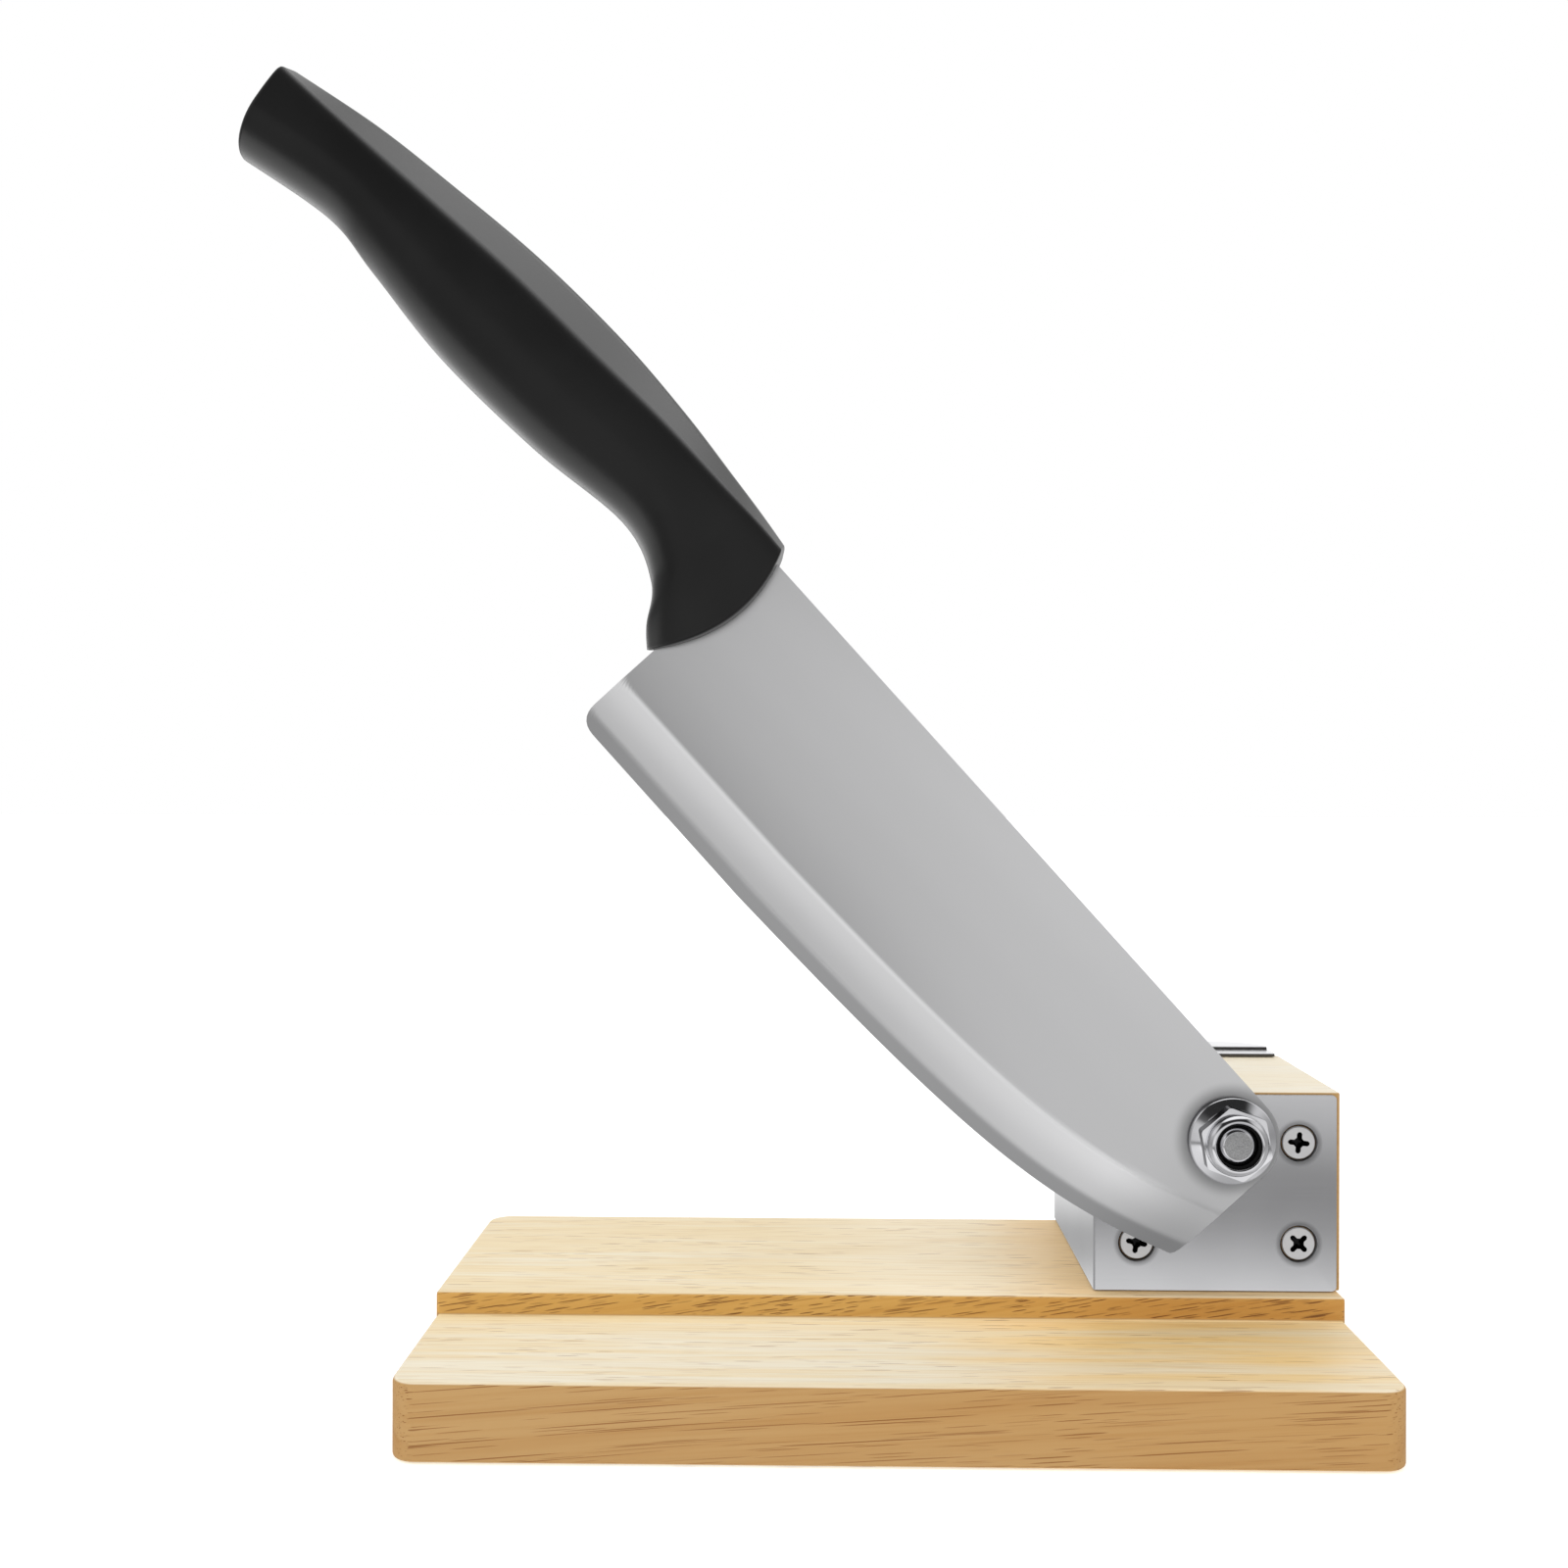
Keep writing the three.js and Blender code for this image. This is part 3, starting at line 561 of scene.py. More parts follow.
class Nodes:
    """Short ways to add linked nodes to one shader tree."""

    def __init__(self, tree):
        self.tree = tree

    def fill(self, node, inputs):
        for key, value in inputs.items():
            socket = node.inputs[key]
            if isinstance(value, bpy.types.NodeSocket):
                self.tree.links.new(value, socket)
            else:
                socket.default_value = value

    def add(self, kind, inputs=(), **settings):
        node = self.tree.nodes.new(kind)
        for key, value in settings.items():
            setattr(node, key, value)
        self.fill(node, dict(inputs))
        return node

    def split(self, vector):
        return self.add("ShaderNodeSeparateXYZ", {0: vector}).outputs

    def math(self, operation, a, b=0.0):
        return self.add("ShaderNodeMath", {0: a, 1: b}, operation=operation).outputs[0]

    def times(self, first, *others):
        for other in others:
            first = self.math("MULTIPLY", first, other)
        return first

    def plus(self, first, *others):
        for other in others:
            first = self.math("ADD", first, other)
        return first

    def vector(self, operation, a, b):
        return self.add("ShaderNodeVectorMath", {0: a, 1: b}, operation=operation).outputs[0]

    def length(self, vector):
        return self.add("ShaderNodeVectorMath", {0: vector}, operation="LENGTH").outputs["Value"]

    def noise(self, vector, detail=2.0, roughness=0.5, output="Fac"):
        inputs = {"Vector": vector, "Scale": 1.0, "Detail": detail, "Roughness": roughness}
        return self.add("ShaderNodeTexNoise", inputs).outputs[output]

    def fade(self, value, low, high, start=0.0, end=1.0):
        inputs = {"Value": value, "From Min": low, "From Max": high, "To Min": start, "To Max": end}
        return self.add("ShaderNodeMapRange", inputs, interpolation_type="SMOOTHSTEP").outputs[0]

    def blend(self, share, a, b):
        return self.add("ShaderNodeMix", {0: share, 2: a, 3: b}).outputs[0]

    def mix(self, share, a, b, blend="MIX"):
        inputs = {0: share, 6: a, 7: b}
        return self.add("ShaderNodeMix", inputs, data_type="RGBA", blend_type=blend).outputs[2]

    def bump(self, height, strength, distance):
        inputs = {"Height": height, "Strength": strength, "Distance": distance * MM}
        return self.add("ShaderNodeBump", inputs).outputs["Normal"]

    def place(self, stretch):
        """The surface's own place in millimetres, times a stretch along each axis."""
        coords = self.add("ShaderNodeTexCoord").outputs["Object"]
        return self.vector("MULTIPLY", coords, tuple(s / MM for s in stretch))

    def distance(self, x, z):
        """How far a place is from an axis along Y, in millimetres."""
        return self.length(self.vector("SUBTRACT", self.place((1, 0, 1)), (x, 0, z)))


def shaded(tint, share):
    """A colour made darker or lighter."""
    return tuple(share * c for c in tint[:3]) + (1,)


def new_material(name):
    """A material, its node helper and its surface shader."""
    material = bpy.data.materials.new(name)
    material.use_nodes = True
    nodes = Nodes(material.node_tree)
    return material, nodes, material.node_tree.nodes["Principled BSDF"]


def make_wood(name, seed, heart, figure, pale, warm_tone):
    """Pale hardwood with its grain along X: growth rings, fibres and brown pores, and darker, warmer sawn
    edges, partly their own colour and partly painted shade on the sides.

    The heart is the share of the board's own patches, and the figure is the strength of the markings.
    """
    material, nodes, shader = new_material(name)
    here = nodes.place((1, 1, 1))
    x, y, z = nodes.split(here)
    broad, ends, step = wood_sides(nodes, y, z)
    swayed = swayed_place(nodes, here, seed)
    slanted = nodes.add("ShaderNodeCombineXYZ", {2: nodes.times(step, STEP_GRAIN_SLOPE, x)}).outputs[0]
    deck_grain = climbing(nodes, swayed, DECK_GRAIN_CLIMB)
    edge_grain = climbing(nodes, nodes.vector("ADD", swayed, slanted), EDGE_GRAIN_CLIMB)

    warm = streaks(nodes, deck_grain, 90, 22)
    fibres = streaks(nodes, edge_grain, 60, 0.7, 3.0)
    face = deck_tone(nodes, (x, y, z), deck_grain, warm, heart, (pale, warm_tone))
    # Sides take darker, warmer tones: partly the sawn edges' own colour, partly painted shade
    edge = nodes.mix(nodes.fade(warm, 0.35, 0.7), SHADED_EDGE_PALE, SHADED_EDGE_WARM)
    step_tone = nodes.mix(nodes.fade(x, *DARK_STEP_X), STEP_PALE, STEP_DARK)
    colour = nodes.mix(broad, nodes.mix(step, edge, step_tone), face)
    layers = grain_layers(nodes, deck_grain, edge_grain, fibres, broad, ends, figure)
    for share, tone in layers:
        colour = nodes.mix(share, colour, tone, "MULTIPLY")
    colour = nodes.mix(nodes.times(ends, 0.5), colour, END_TONE)

    marks = pore_marks(nodes, deck_grain, edge_grain, broad, ends, step, figure)
    pore_tone = nodes.mix(broad, nodes.mix(step, EDGE_PORE_TONE, STEP_PORE_TONE), FACE_PORE_TONE)
    relief = nodes.math("SUBTRACT", nodes.times(fibres, 0.3), marks)
    nodes.fill(shader, {
        "Base Color": nodes.mix(nodes.times(marks, 0.85), colour, pore_tone),
        "Roughness": nodes.fade(fibres, 0.3, 0.75, 0.45, 0.58),
        "Specular IOR Level": 0.3,
        "Normal": nodes.bump(relief, 0.2, 0.1),
    })
    return material


def wood_sides(nodes, y, z):
    """How far a surface is a broad face, an end of the grain, or the face of the board's step."""
    normal = nodes.split(nodes.add("ShaderNodeTexCoord").outputs["Normal"])
    broad = nodes.fade(nodes.math("ABSOLUTE", normal[2]), 0.5, 0.9)
    ends = nodes.fade(nodes.math("ABSOLUTE", normal[0]), 0.35, 0.95)
    at_step = nodes.times(nodes.fade(z, *SHELF_Z), nodes.fade(y, *STEP_Y))
    return broad, ends, nodes.times(at_step, nodes.fade(broad, 0.2, 0.6, 1.0, 0.0))


def swayed_place(nodes, here, seed):
    """A place in the wood, shifted so that the grain sways slowly along its length."""
    slow = nodes.vector("MULTIPLY", here, (1 / 120, 1 / 50, 1 / 50))
    slow = nodes.vector("ADD", slow, (seed, seed, seed))
    sway = nodes.noise(slow, detail=1.0, output="Color")
    sway = nodes.vector("MULTIPLY", nodes.vector("SUBTRACT", sway, (0.5, 0.5, 0.5)), (0, 3, 3))
    return nodes.vector("ADD", nodes.vector("ADD", here, sway), (40 * seed, 0, 0))


def climbing(nodes, place, degrees):
    """A place measured along grain that climbs to the right."""
    turned = {"Vector": place, "Angle": radians(degrees)}
    return nodes.add("ShaderNodeVectorRotate", turned, rotation_type="Y_AXIS").outputs[0]


def streaks(nodes, grain, length, width, detail=2.0):
    """Noise with marks about so long along the grain and so wide across it."""
    stretched = nodes.vector("MULTIPLY", grain, (1 / length, 1 / width, 1 / width))
    return nodes.noise(stretched, detail, 0.55)


def pores(nodes, grain, length, width, size):
    """Thin closed tubes along the grain: lines on a sawn edge, dashes on a deck, dots on an end."""
    stretched = nodes.vector("MULTIPLY", grain, (1 / length, 1 / width, 1 / width))
    cells = nodes.add("ShaderNodeTexVoronoi", {"Vector": stretched, "Scale": 1.0})
    inside = nodes.fade(cells.outputs["Distance"], size * 1.1, size * 0.8)
    return nodes.times(inside, nodes.fade(cells.outputs["Color"], 0.25, 0.75, 0.3, 1.0))


def growth_rings(nodes, grain):
    """Bands round the tree's pith, which runs along the grain below the board."""
    across = nodes.vector("MULTIPLY", nodes.vector("SUBTRACT", grain, (0, *PITH)), (0, 1, 1))
    along = nodes.split(grain)[0]
    place = {0: nodes.math("DIVIDE", along, 170), 1: nodes.math("DIVIDE", nodes.length(across), 2.2)}
    return nodes.noise(nodes.add("ShaderNodeCombineXYZ", place).outputs[0], 2.0, 0.6)


def deck_tone(nodes, place, grain, warm, heart, tones):
    """The colour of a broad face, with the board's darker patches, a patch of painted light on the upper
    deck towards the block, and an amber patch there that is partly the wood's own warmth and partly
    painted light.
    """
    x, y, z = place
    lanes = streaks(nodes, grain, 110, 2.4, 3.0)
    yellow = nodes.plus(nodes.times(warm, 0.5), nodes.fade(y, *NEAR_STEP_Y, 0.0, 0.18), lanes)
    face = nodes.mix(nodes.fade(yellow, 0.62, 1.0), *tones)
    upper_deck = nodes.fade(y, *UPPER_DECK_Y, 0.0, heart)
    below_step = nodes.times(nodes.fade(y, *BELOW_STEP_Y), nodes.fade(z, *reversed(SHELF_Z)))
    heartwood = heart_share(nodes, x, y, streaks(nodes, grain, 110, 5))
    patches = [
        (nodes.times(below_step, 0.5), FACE_GLOW),
        # Painted light on the upper deck towards the block, against its shade; the amber there is partly
        # the wood's warmth and partly painted light
        (nodes.times(nodes.fade(x, *PAINTED_LIGHT_X), upper_deck, 0.8), FACE_PAINTED_LIGHT),
        (nodes.times(nodes.fade(x, *AMBER_AND_LIGHT_X, 0.0, 0.7), upper_deck), FACE_AMBER_AND_LIGHT),
        (nodes.times(heartwood, heart), FACE_HEART),
    ]
    for share, tone in patches:
        face = nodes.mix(share, face, tone)
    return face


def heart_share(nodes, x, y, lanes):
    """Where the board shows darker heartwood: the right of its lower deck, and a little of the upper."""
    across = nodes.times(nodes.fade(x, *HEART_LEFT_X), nodes.fade(x, *HEART_RIGHT_X, 1.0, 0.5))
    deck = nodes.math("MAXIMUM", nodes.fade(y, *HEART_DECK_Y), 0.3)
    front = nodes.fade(y, *HEART_FRONT_Y, 1.0, 0.55)
    return nodes.times(across, deck, front, nodes.fade(lanes, 0.34, 0.62, 0.35, 1.0))


def grain_layers(nodes, deck_grain, edge_grain, fibres, broad, ends, figure):
    """Shares and tones of growth rings on all sides, fibres on sawn edges and hair lines on decks."""
    rings = growth_rings(nodes, edge_grain)
    hairs = streaks(nodes, deck_grain, 34, 0.55, 2.0)
    ring_share = nodes.fade(broad, 0.0, 1.0, 0.24 * figure, 0.1 * figure)
    ring_share = nodes.plus(ring_share, nodes.times(ends, 0.4))
    fibre_share = nodes.fade(broad, 0.0, 1.0, 0.2 * figure, 0.0)
    hair_share = nodes.fade(broad, 0.0, 1.0, 0.0, 0.34 * figure)
    return [
        (nodes.times(nodes.fade(rings, 0.42, 0.7), ring_share), RING_TONE),
        (nodes.times(nodes.fade(fibres, 0.45, 0.75), fibre_share), FIBRE_TONE),
        (nodes.times(nodes.fade(hairs, 0.48, 0.7), hair_share), HAIR_TONE),
    ]


def pore_marks(nodes, deck_grain, edge_grain, broad, ends, step, figure):
    """How strongly pores show: clustered on decks, long on sawn edges, short and close on the step."""
    clusters = nodes.fade(streaks(nodes, deck_grain, 60, 9, 1.0), 0.36, 0.56, 0.25, 1.0)
    on_deck = nodes.times(pores(nodes, deck_grain, 17, 0.56, 0.2), clusters)
    shorter = nodes.times(pores(nodes, edge_grain, 22, 0.46, 0.22), 0.7)
    on_edge = nodes.math("MAXIMUM", pores(nodes, edge_grain, 60, 0.42, 0.27), shorter)
    shortest = pores(nodes, edge_grain, 6, 0.4, 0.28)
    on_step = nodes.math("MAXIMUM", pores(nodes, edge_grain, 11, 0.42, 0.3), shortest)
    marks = nodes.blend(broad, nodes.blend(step, on_edge, on_step), on_deck)
    return nodes.times(marks, nodes.fade(ends, 0.0, 1.0, figure, 0.4 * figure))


def make_steel(name, tint, roughness, lines, line_depth, metallic, screws=()):
    """Stainless steel with fine lines from grinding, longest along the axis with the smallest stretch.

    Round each screw's place on a front face, the sheet gets a ring of painted shade.
    """
    material, nodes, shader = new_material(name)
    ground = nodes.noise(nodes.place(lines), 3, 0.65)
    cloud = nodes.noise(nodes.place((0.05, 0.05, 0.05)))
    shade = nodes.mix(nodes.fade(cloud, 0.3, 0.7), tint, shaded(tint, 0.93))
    shade = nodes.mix(nodes.fade(ground, 0.3, 0.75, 0.0, 0.04), shade, shaded(tint, 0.7))
    mouth = COUNTERSINK / 2
    # Painted shade: a darker ring round each screw's countersink
    for x, z in screws:
        near = nodes.fade(nodes.distance(x, z), mouth, mouth + SCREW_SHADE_WIDTH, 0.6, 0.0)
        shade = nodes.mix(near, shade, shaded(tint, 0.2))
    nodes.fill(shader, {
        "Base Color": shade,
        "Metallic": metallic,
        "Roughness": nodes.fade(ground, 0.25, 0.8, roughness * 0.95, roughness * 1.05),
        "Normal": nodes.bump(ground, 0.05, line_depth),
    })
    return material


def make_cut_steel():
    """The granular end of a cropped bolt."""
    material, nodes, shader = new_material("cut_steel")
    grains = nodes.noise(nodes.place((6.5, 6.5, 6.5)), 3, 0.7)
    nodes.fill(shader, {
        "Base Color": nodes.mix(nodes.fade(grains, 0.25, 0.75), CUT_DARK, CUT_LIGHT),
        "Metallic": 1,
        "Roughness": nodes.fade(grains, 0.3, 0.7, 0.42, 0.5),
        "Normal": nodes.bump(grains, 0.3, 0.06),
    })
    return material


def make_blade_steel():
    """Satin ground steel, whose painted light and shade along the bevel and the face comes with the mesh,
    with a painted shadow round the nut as well.
    """
    material, nodes, shader = new_material("ground_steel")
    lines = nodes.noise(nodes.place((0.012, 0.6, 2.4)), 3, 0.6)
    cloud = nodes.noise(nodes.place((0.004, 0.2, 0.12)), 1)
    # The tone attribute holds painted light and shade, made with the mesh
    tone = nodes.add("ShaderNodeAttribute", attribute_name="tone").outputs["Fac"]
    shade = nodes.mix(tone, BLADE_DULL, BLADE_BRIGHT)
    shade = nodes.mix(nodes.fade(cloud, 0.3, 0.7, 0.0, 0.015), shade, BLADE_DULL)
    shade = nodes.mix(nodes.fade(lines, 0.3, 0.75, 0.0, 0.005), shade, BLADE_DULL)
    rim = FLANGE_DIAMETER / 2
    # Painted shadow on the blade round the nut's flange
    nut_shadow = nodes.fade(nodes.distance(0, 0), rim, rim + NUT_SHADOW_WIDTH, 0.6, 0.0)
    nodes.fill(shader, {
        "Base Color": nodes.mix(nut_shadow, shade, NUT_SHADOW_TONE),
        "Metallic": 1,
        "Roughness": nodes.fade(cloud, 0.25, 0.8, 0.277, 0.283),
    })
    return material


def make_matt(name, tint, roughness, specular):
    """Moulded plastic, or near-black painted shade lining a bored hole, with a fine grain."""
    material, nodes, shader = new_material(name)
    grain = nodes.noise(nodes.place((5, 5, 5)))
    cloud = nodes.noise(nodes.place((0.06, 0.06, 0.06)))
    nodes.fill(shader, {
        "Base Color": nodes.mix(nodes.fade(cloud, 0.3, 0.7), tint, shaded(tint, 1.25)),
        "Roughness": nodes.fade(grain, 0.3, 0.7, roughness * 0.93, roughness * 1.07),
        "Specular IOR Level": specular,
        "Normal": nodes.bump(grain, 0.08, 0.03),
    })
    return material


board_wood = make_wood("board_wood", 0, 1.0, 1.0, FACE_PALE, FACE_WARM)
block_wood = make_wood("block_wood", 9, 0.0, 0.4, BLOCK_PALE, BLOCK_WARM)
steels = {name: make_steel(f"{name}_finish", *values) for name, values in STEELS.items()}
matts = {name: make_matt(name, *values) for name, values in MATTS.items()}
cut_steel = make_cut_steel()
blade_steel = make_blade_steel()


# Screws

def screw_body(length):
    """A countersunk screw with a cross recess: its head faces -Y at the origin."""
    radius = SCREW_DIAMETER / 2
    head = SCREW_HEAD / 2
    profile = eased([
        (0, SCREW_SINK),
        (SCREW_FACE / 2, SCREW_SINK),
        (head, SCREW_SINK + SCREW_RIM),
        (head, SCREW_SINK + SCREW_RIM + SCREW_BAND),
        (radius, SCREW_HEAD_HEIGHT),
        (radius, length - SCREW_POINT),
        (0, length),
    ], SCREW_ROUND, 3)
    screw = placed("screw", lathe(profile, 48))
    screw.data.materials.append(steels["screw"])
    # The cross recess is painted near-black as shade
    screw.data.materials.append(steels["recess"])
    cutters = [placed("recess", recess(outline)) for outline in cross_outlines()]
    for cutter in cutters:
        cutter.data.materials.append(steels["recess"])
    combine(screw, cutters)
    return screw


def cross_outlines():
    """The two arms of a cross recess and the wider middle where they meet, in X and Z."""
    reach, half, point, centre = CROSS_LENGTH / 2, CROSS_WIDTH / 2, CROSS_POINT, CROSS_CENTRE
    right = [(reach - point, half), (reach, 0.4 * half), (reach, -0.4 * half), (reach - point, -half)]
    arm = right + [(-x, -z) for x, z in right]
    other_arm = [(z, -x) for x, z in arm]
    return arm, other_arm, [(0, centre), (centre, 0), (0, -centre), (-centre, 0)]


def recess(outline):
    """A cutter for part of a cross recess, narrowing with depth."""
    levels = [(SCREW_SINK - JUST_PAST, 1), (SCREW_SINK, 1), (SCREW_SINK + CROSS_DEPTH, CROSS_TAPER)]
    return skin([[(x * share, y, z * share) for x, z in outline] for y, share in levels])


def screw_hole(length):
    """The countersunk hole that a screw goes in, open past the surface."""
    length += PILOT_GAP
    mouth = COUNTERSINK / 2
    radius = SCREW_DIAMETER / 2 + PILOT_GAP
    return lathe([
        (0, -2 * JUST_PAST),
        (mouth + COUNTERSINK_EASE, -2 * JUST_PAST),
        (mouth + COUNTERSINK_EASE, 0),
        (mouth + 0.3 * COUNTERSINK_EASE, 0.3 * COUNTERSINK_EASE),
        (mouth, COUNTERSINK_EASE),
        (SCREW_HEAD / 2 + PILOT_GAP, SCREW_SINK + SCREW_RIM + PILOT_GAP),
        (radius, SCREW_HEAD_HEIGHT + PILOT_GAP),
        (radius, length),
        (0, length),
    ], 48)


def screw_frame(node, degrees=0):
    """Where a screw's head sits: on the side of the CAD screw that its name says."""
    low, high = place_of(node)
    x, y, z = (low + high) / 2
    if node.startswith("block"):
        head = shift(x, y, low.z - SCREW_SINK) @ turn(90, "X")
    elif node.startswith("plate"):
        head = shift(x, high.y + SCREW_SINK, z) @ turn(180, "Z")
    else:
        head = shift(x, low.y - SCREW_SINK, z)
    return head @ turn(degrees, "Y")


def screws_named(start):
    return sorted(name for name in frame["nodes"] if name.startswith(start))


def screw_length(name):
    low, high = place_of(name)
    return max(high - low) + SCREW_SINK


def holes_for(start, lining=None):
    """Cutters for one kind of screw, whose holes may be lined with a material of their own."""
    holes = []
    for name in screws_named(start):
        hole = placed("hole", screw_hole(screw_length(name)), screw_frame(name))
        if lining is not None:
            hole.data.materials.append(lining)
        holes.append(hole)
    return holes


def make_screws():
    for start in SCREW_KINDS:
        names = screws_named(start)
        first = screw_body(screw_length(names[0]))
        for name in names:
            screw = new_object(f"{name}_finished", first.data.copy())
            degrees = COVER_SCREW_TURNS.get(name.removeprefix(start), SCREW_TURN)
            screw.matrix_world = screw_frame(name, degrees)
            finish(screw, name, "base", None, 30)
        bpy.data.objects.remove(first)


# Base

def make_board():
    low, high = place_of("base_board")
    step = low.y + LOWER_DECK_DEPTH
    shelf = high.z - STEP_HEIGHT
    r = BOARD_CORNER
    left, right, near, far = low.x + r, high.x - r, low.y + r, high.y - r
    front = [(high.x, step), *arc(right, near, r, 0, -90), *arc(left, near, r, -90, -180), (low.x, step)]
    rear = [(low.x, step), *arc(left, far, r, 180, 90), *arc(right, far, r, 90, 0), (high.x, step)]
    faces = [
        [(x, y, low.z) for x, y in front[:-1] + rear[:-1]],
        [(x, y, shelf) for x, y in front],
        [(x, y, high.z) for x, y in rear],
        [(low.x, step, shelf), (high.x, step, shelf), (high.x, step, high.z), (low.x, step, high.z)],
    ]
    for plan, top in ((front, shelf), (rear, high.z)):
        for a, b in zip(plan, plan[1:]):
            wall = [(*a, low.z), (*b, low.z), (*b, top), (*a, top)]
            if top > shelf and a == rear[0]:
                wall.append((*a, shelf))
            if top > shelf and b == rear[-1]:
                wall.insert(2, (*b, shelf))
            faces.append(wall)
    board = placed("base_board_finished", solid(faces))
    soften(board, WOOD_EDGE)
    combine(board, holes_for("block_screw_"))
    board.visible_glossy = False
    finish(board, "base_board", "base", board_wood)


def bolt_hole():
    """A cutter for the bolt's hole through the block and its sheets."""
    low, high = place_of("pivot_bolt")
    return on_pivot("hole", rod(BOLT_HOLE_RADIUS, low.y - PAST, high.y + PAST), 64)


def make_block():
    low, high = place_of("pivot_block")
    corner = BLOCK_CORNER
    rounded = arc(high.x - corner, high.y - corner, corner, 0, 90, 16)
    plan = [(low.x, low.y), (high.x, low.y), *rounded, (low.x, high.y)]
    block = placed("pivot_block_finished", prism(plan, upright, low.z, high.z))
    soften(block, BLOCK_EDGE)
    block.data.materials.append(block_wood)
    combine(block, [bolt_hole()])
    for start in SCREW_KINDS:
        # The block's screw holes are lined with near-black painted shade
        combine(block, holes_for(start, matts["shaded_bore"]))
    finish(block, "pivot_block", "base", None)


def make_cover():
    """An L of sheet round the block's front and left side, with a sharp fold and rounded right corners."""
    low, high = place_of("block_cover")
    low.z += COVER_LIFT
    high.x -= COVER_TRIM
    inner = SHEET + FOLD_INSIDE
    plan = [(high.x, low.y), (high.x, low.y + SHEET)]
    plan += arc(low.x + inner, low.y + inner, FOLD_INSIDE, 270, 180, 4)
    plan += [(low.x + SHEET, high.y), (low.x, high.y)]
    plan += arc(low.x + FOLD_OUTSIDE, low.y + FOLD_OUTSIDE, FOLD_OUTSIDE, 180, 270)
    cover = placed("block_cover_finished", prism(plan, upright, low.z, high.z))
    soften(cover, SHEET_EDGE, 2, 60)
    r = COVER_CORNER
    face = [(low.x - PAST, low.z - JUST_PAST), (high.x - r, low.z - JUST_PAST)]
    face += arc(high.x - r, low.z + r, r, -90, 0)
    face += arc(high.x - r, high.z - r, r, 0, 90)
    face += [(high.x - r, high.z + JUST_PAST), (low.x - PAST, high.z + JUST_PAST)]
    combine(cover, [placed("trim", prism(face, facing, low.y - PAST, high.y + PAST))], "INTERSECT")
    combine(cover, [bolt_hole(), *holes_for("cover_screw_")])
    middles = [sum(place_of(name), Vector()) / 2 for name in screws_named("cover_screw_")]
    # The cover's steel gets a ring of painted shade round each screw
    steel = make_steel("cover_finish", *STEELS["satin"], screws=[(m.x, m.z) for m in middles])
    finish(cover, "block_cover", "base", steel)


def make_rear_plate():
    """A plate up the block's back, folded over its top with a doubled strip, rounded like its corner."""
    low, high = place_of("rear_plate")
    hem_top = high.z
    tab_top = hem_top - SHEET
    tab_bottom = tab_top - SHEET
    front = high.y - SHEET
    hem_front, tab_front = high.y - HEM_DEPTH, high.y - TAB_DEPTH
    hem_edge = [(front, hem_top), (hem_front, hem_top), (hem_front, tab_top)]
    tab_edge = [(hem_front, tab_top), (tab_front, tab_top), (tab_front, tab_bottom)]
    section = [(front, low.z), (high.y, low.z), (high.y, tab_top)]
    section += arc(front, tab_top, SHEET, 0, 90)[1:]
    section += eased(hem_edge, TAB_EDGE, 5)[1:] + eased(tab_edge, TAB_EDGE, 5)[1:]
    section += [(front, tab_bottom)]
    plate = placed("rear_plate_finished", prism(section, crosswise, low.x, high.x))
    leg_right = high.x + PLATE_INSET - BLOCK_CORNER
    corner = high.x - leg_right
    plan = [(low.x - PAST, low.y - PAST), (high.x, low.y - PAST)]
    plan += arc(leg_right, front - corner, corner, 0, 90, 16)
    plan += [(leg_right, high.y + PAST), (low.x - PAST, high.y + PAST)]
    combine(plate, [placed("plan", prism(plan, upright, low.z - PAST, high.z + PAST))], "INTERSECT")
    soften(plate, PLATE_EDGE, 4, 60)
    combine(plate, [bolt_hole(), *holes_for("plate_screw_")])

    # The sheet's front-facing cut edges get a much darker steel: partly their own finish, partly painted
    # shade
    def sheared_and_shaded(place, normal):
        return normal.y < -0.9 and place.y < front - 1

    paint(plate, steels["plate"], steels["sheared_and_shaded"], sheared_and_shaded)
    finish(plate, "rear_plate", "base", None)


# Pivot

def hexagon(name, across, near, far, matrix):
    """A hexagonal prism with a corner at the top and slightly rounded corners."""
    radius = across / sqrt(3)
    turns = [radians(60 * i) for i in range(6)]
    corners = [(radius * sin(a), radius * cos(a)) for a in turns]
    return placed(name, prism(eased(corners, HEX_CORNER, 4, closed=True), facing, near, far), matrix)


def make_ring(node, inner, outer, edge, steps, material):
    """A ring round the bolt, as thick as its CAD node."""
    low, high = place_of(node)
    corners = [(inner, low.y), (outer, low.y), (outer, high.y), (inner, high.y)]
    ring = on_pivot(f"{node}_finished", eased(corners, edge, steps, closed=True), 72, closed=True)
    finish(ring, node, "base", material)


def make_washers():
    for node in ("washer_inner", "washer_outer"):
        low, high = place_of(node)
        outer = (high.x - low.x) / 2
        make_ring(node, BOLT_HOLE_RADIUS, outer, WASHER_EDGE, 3, steels["satin"])


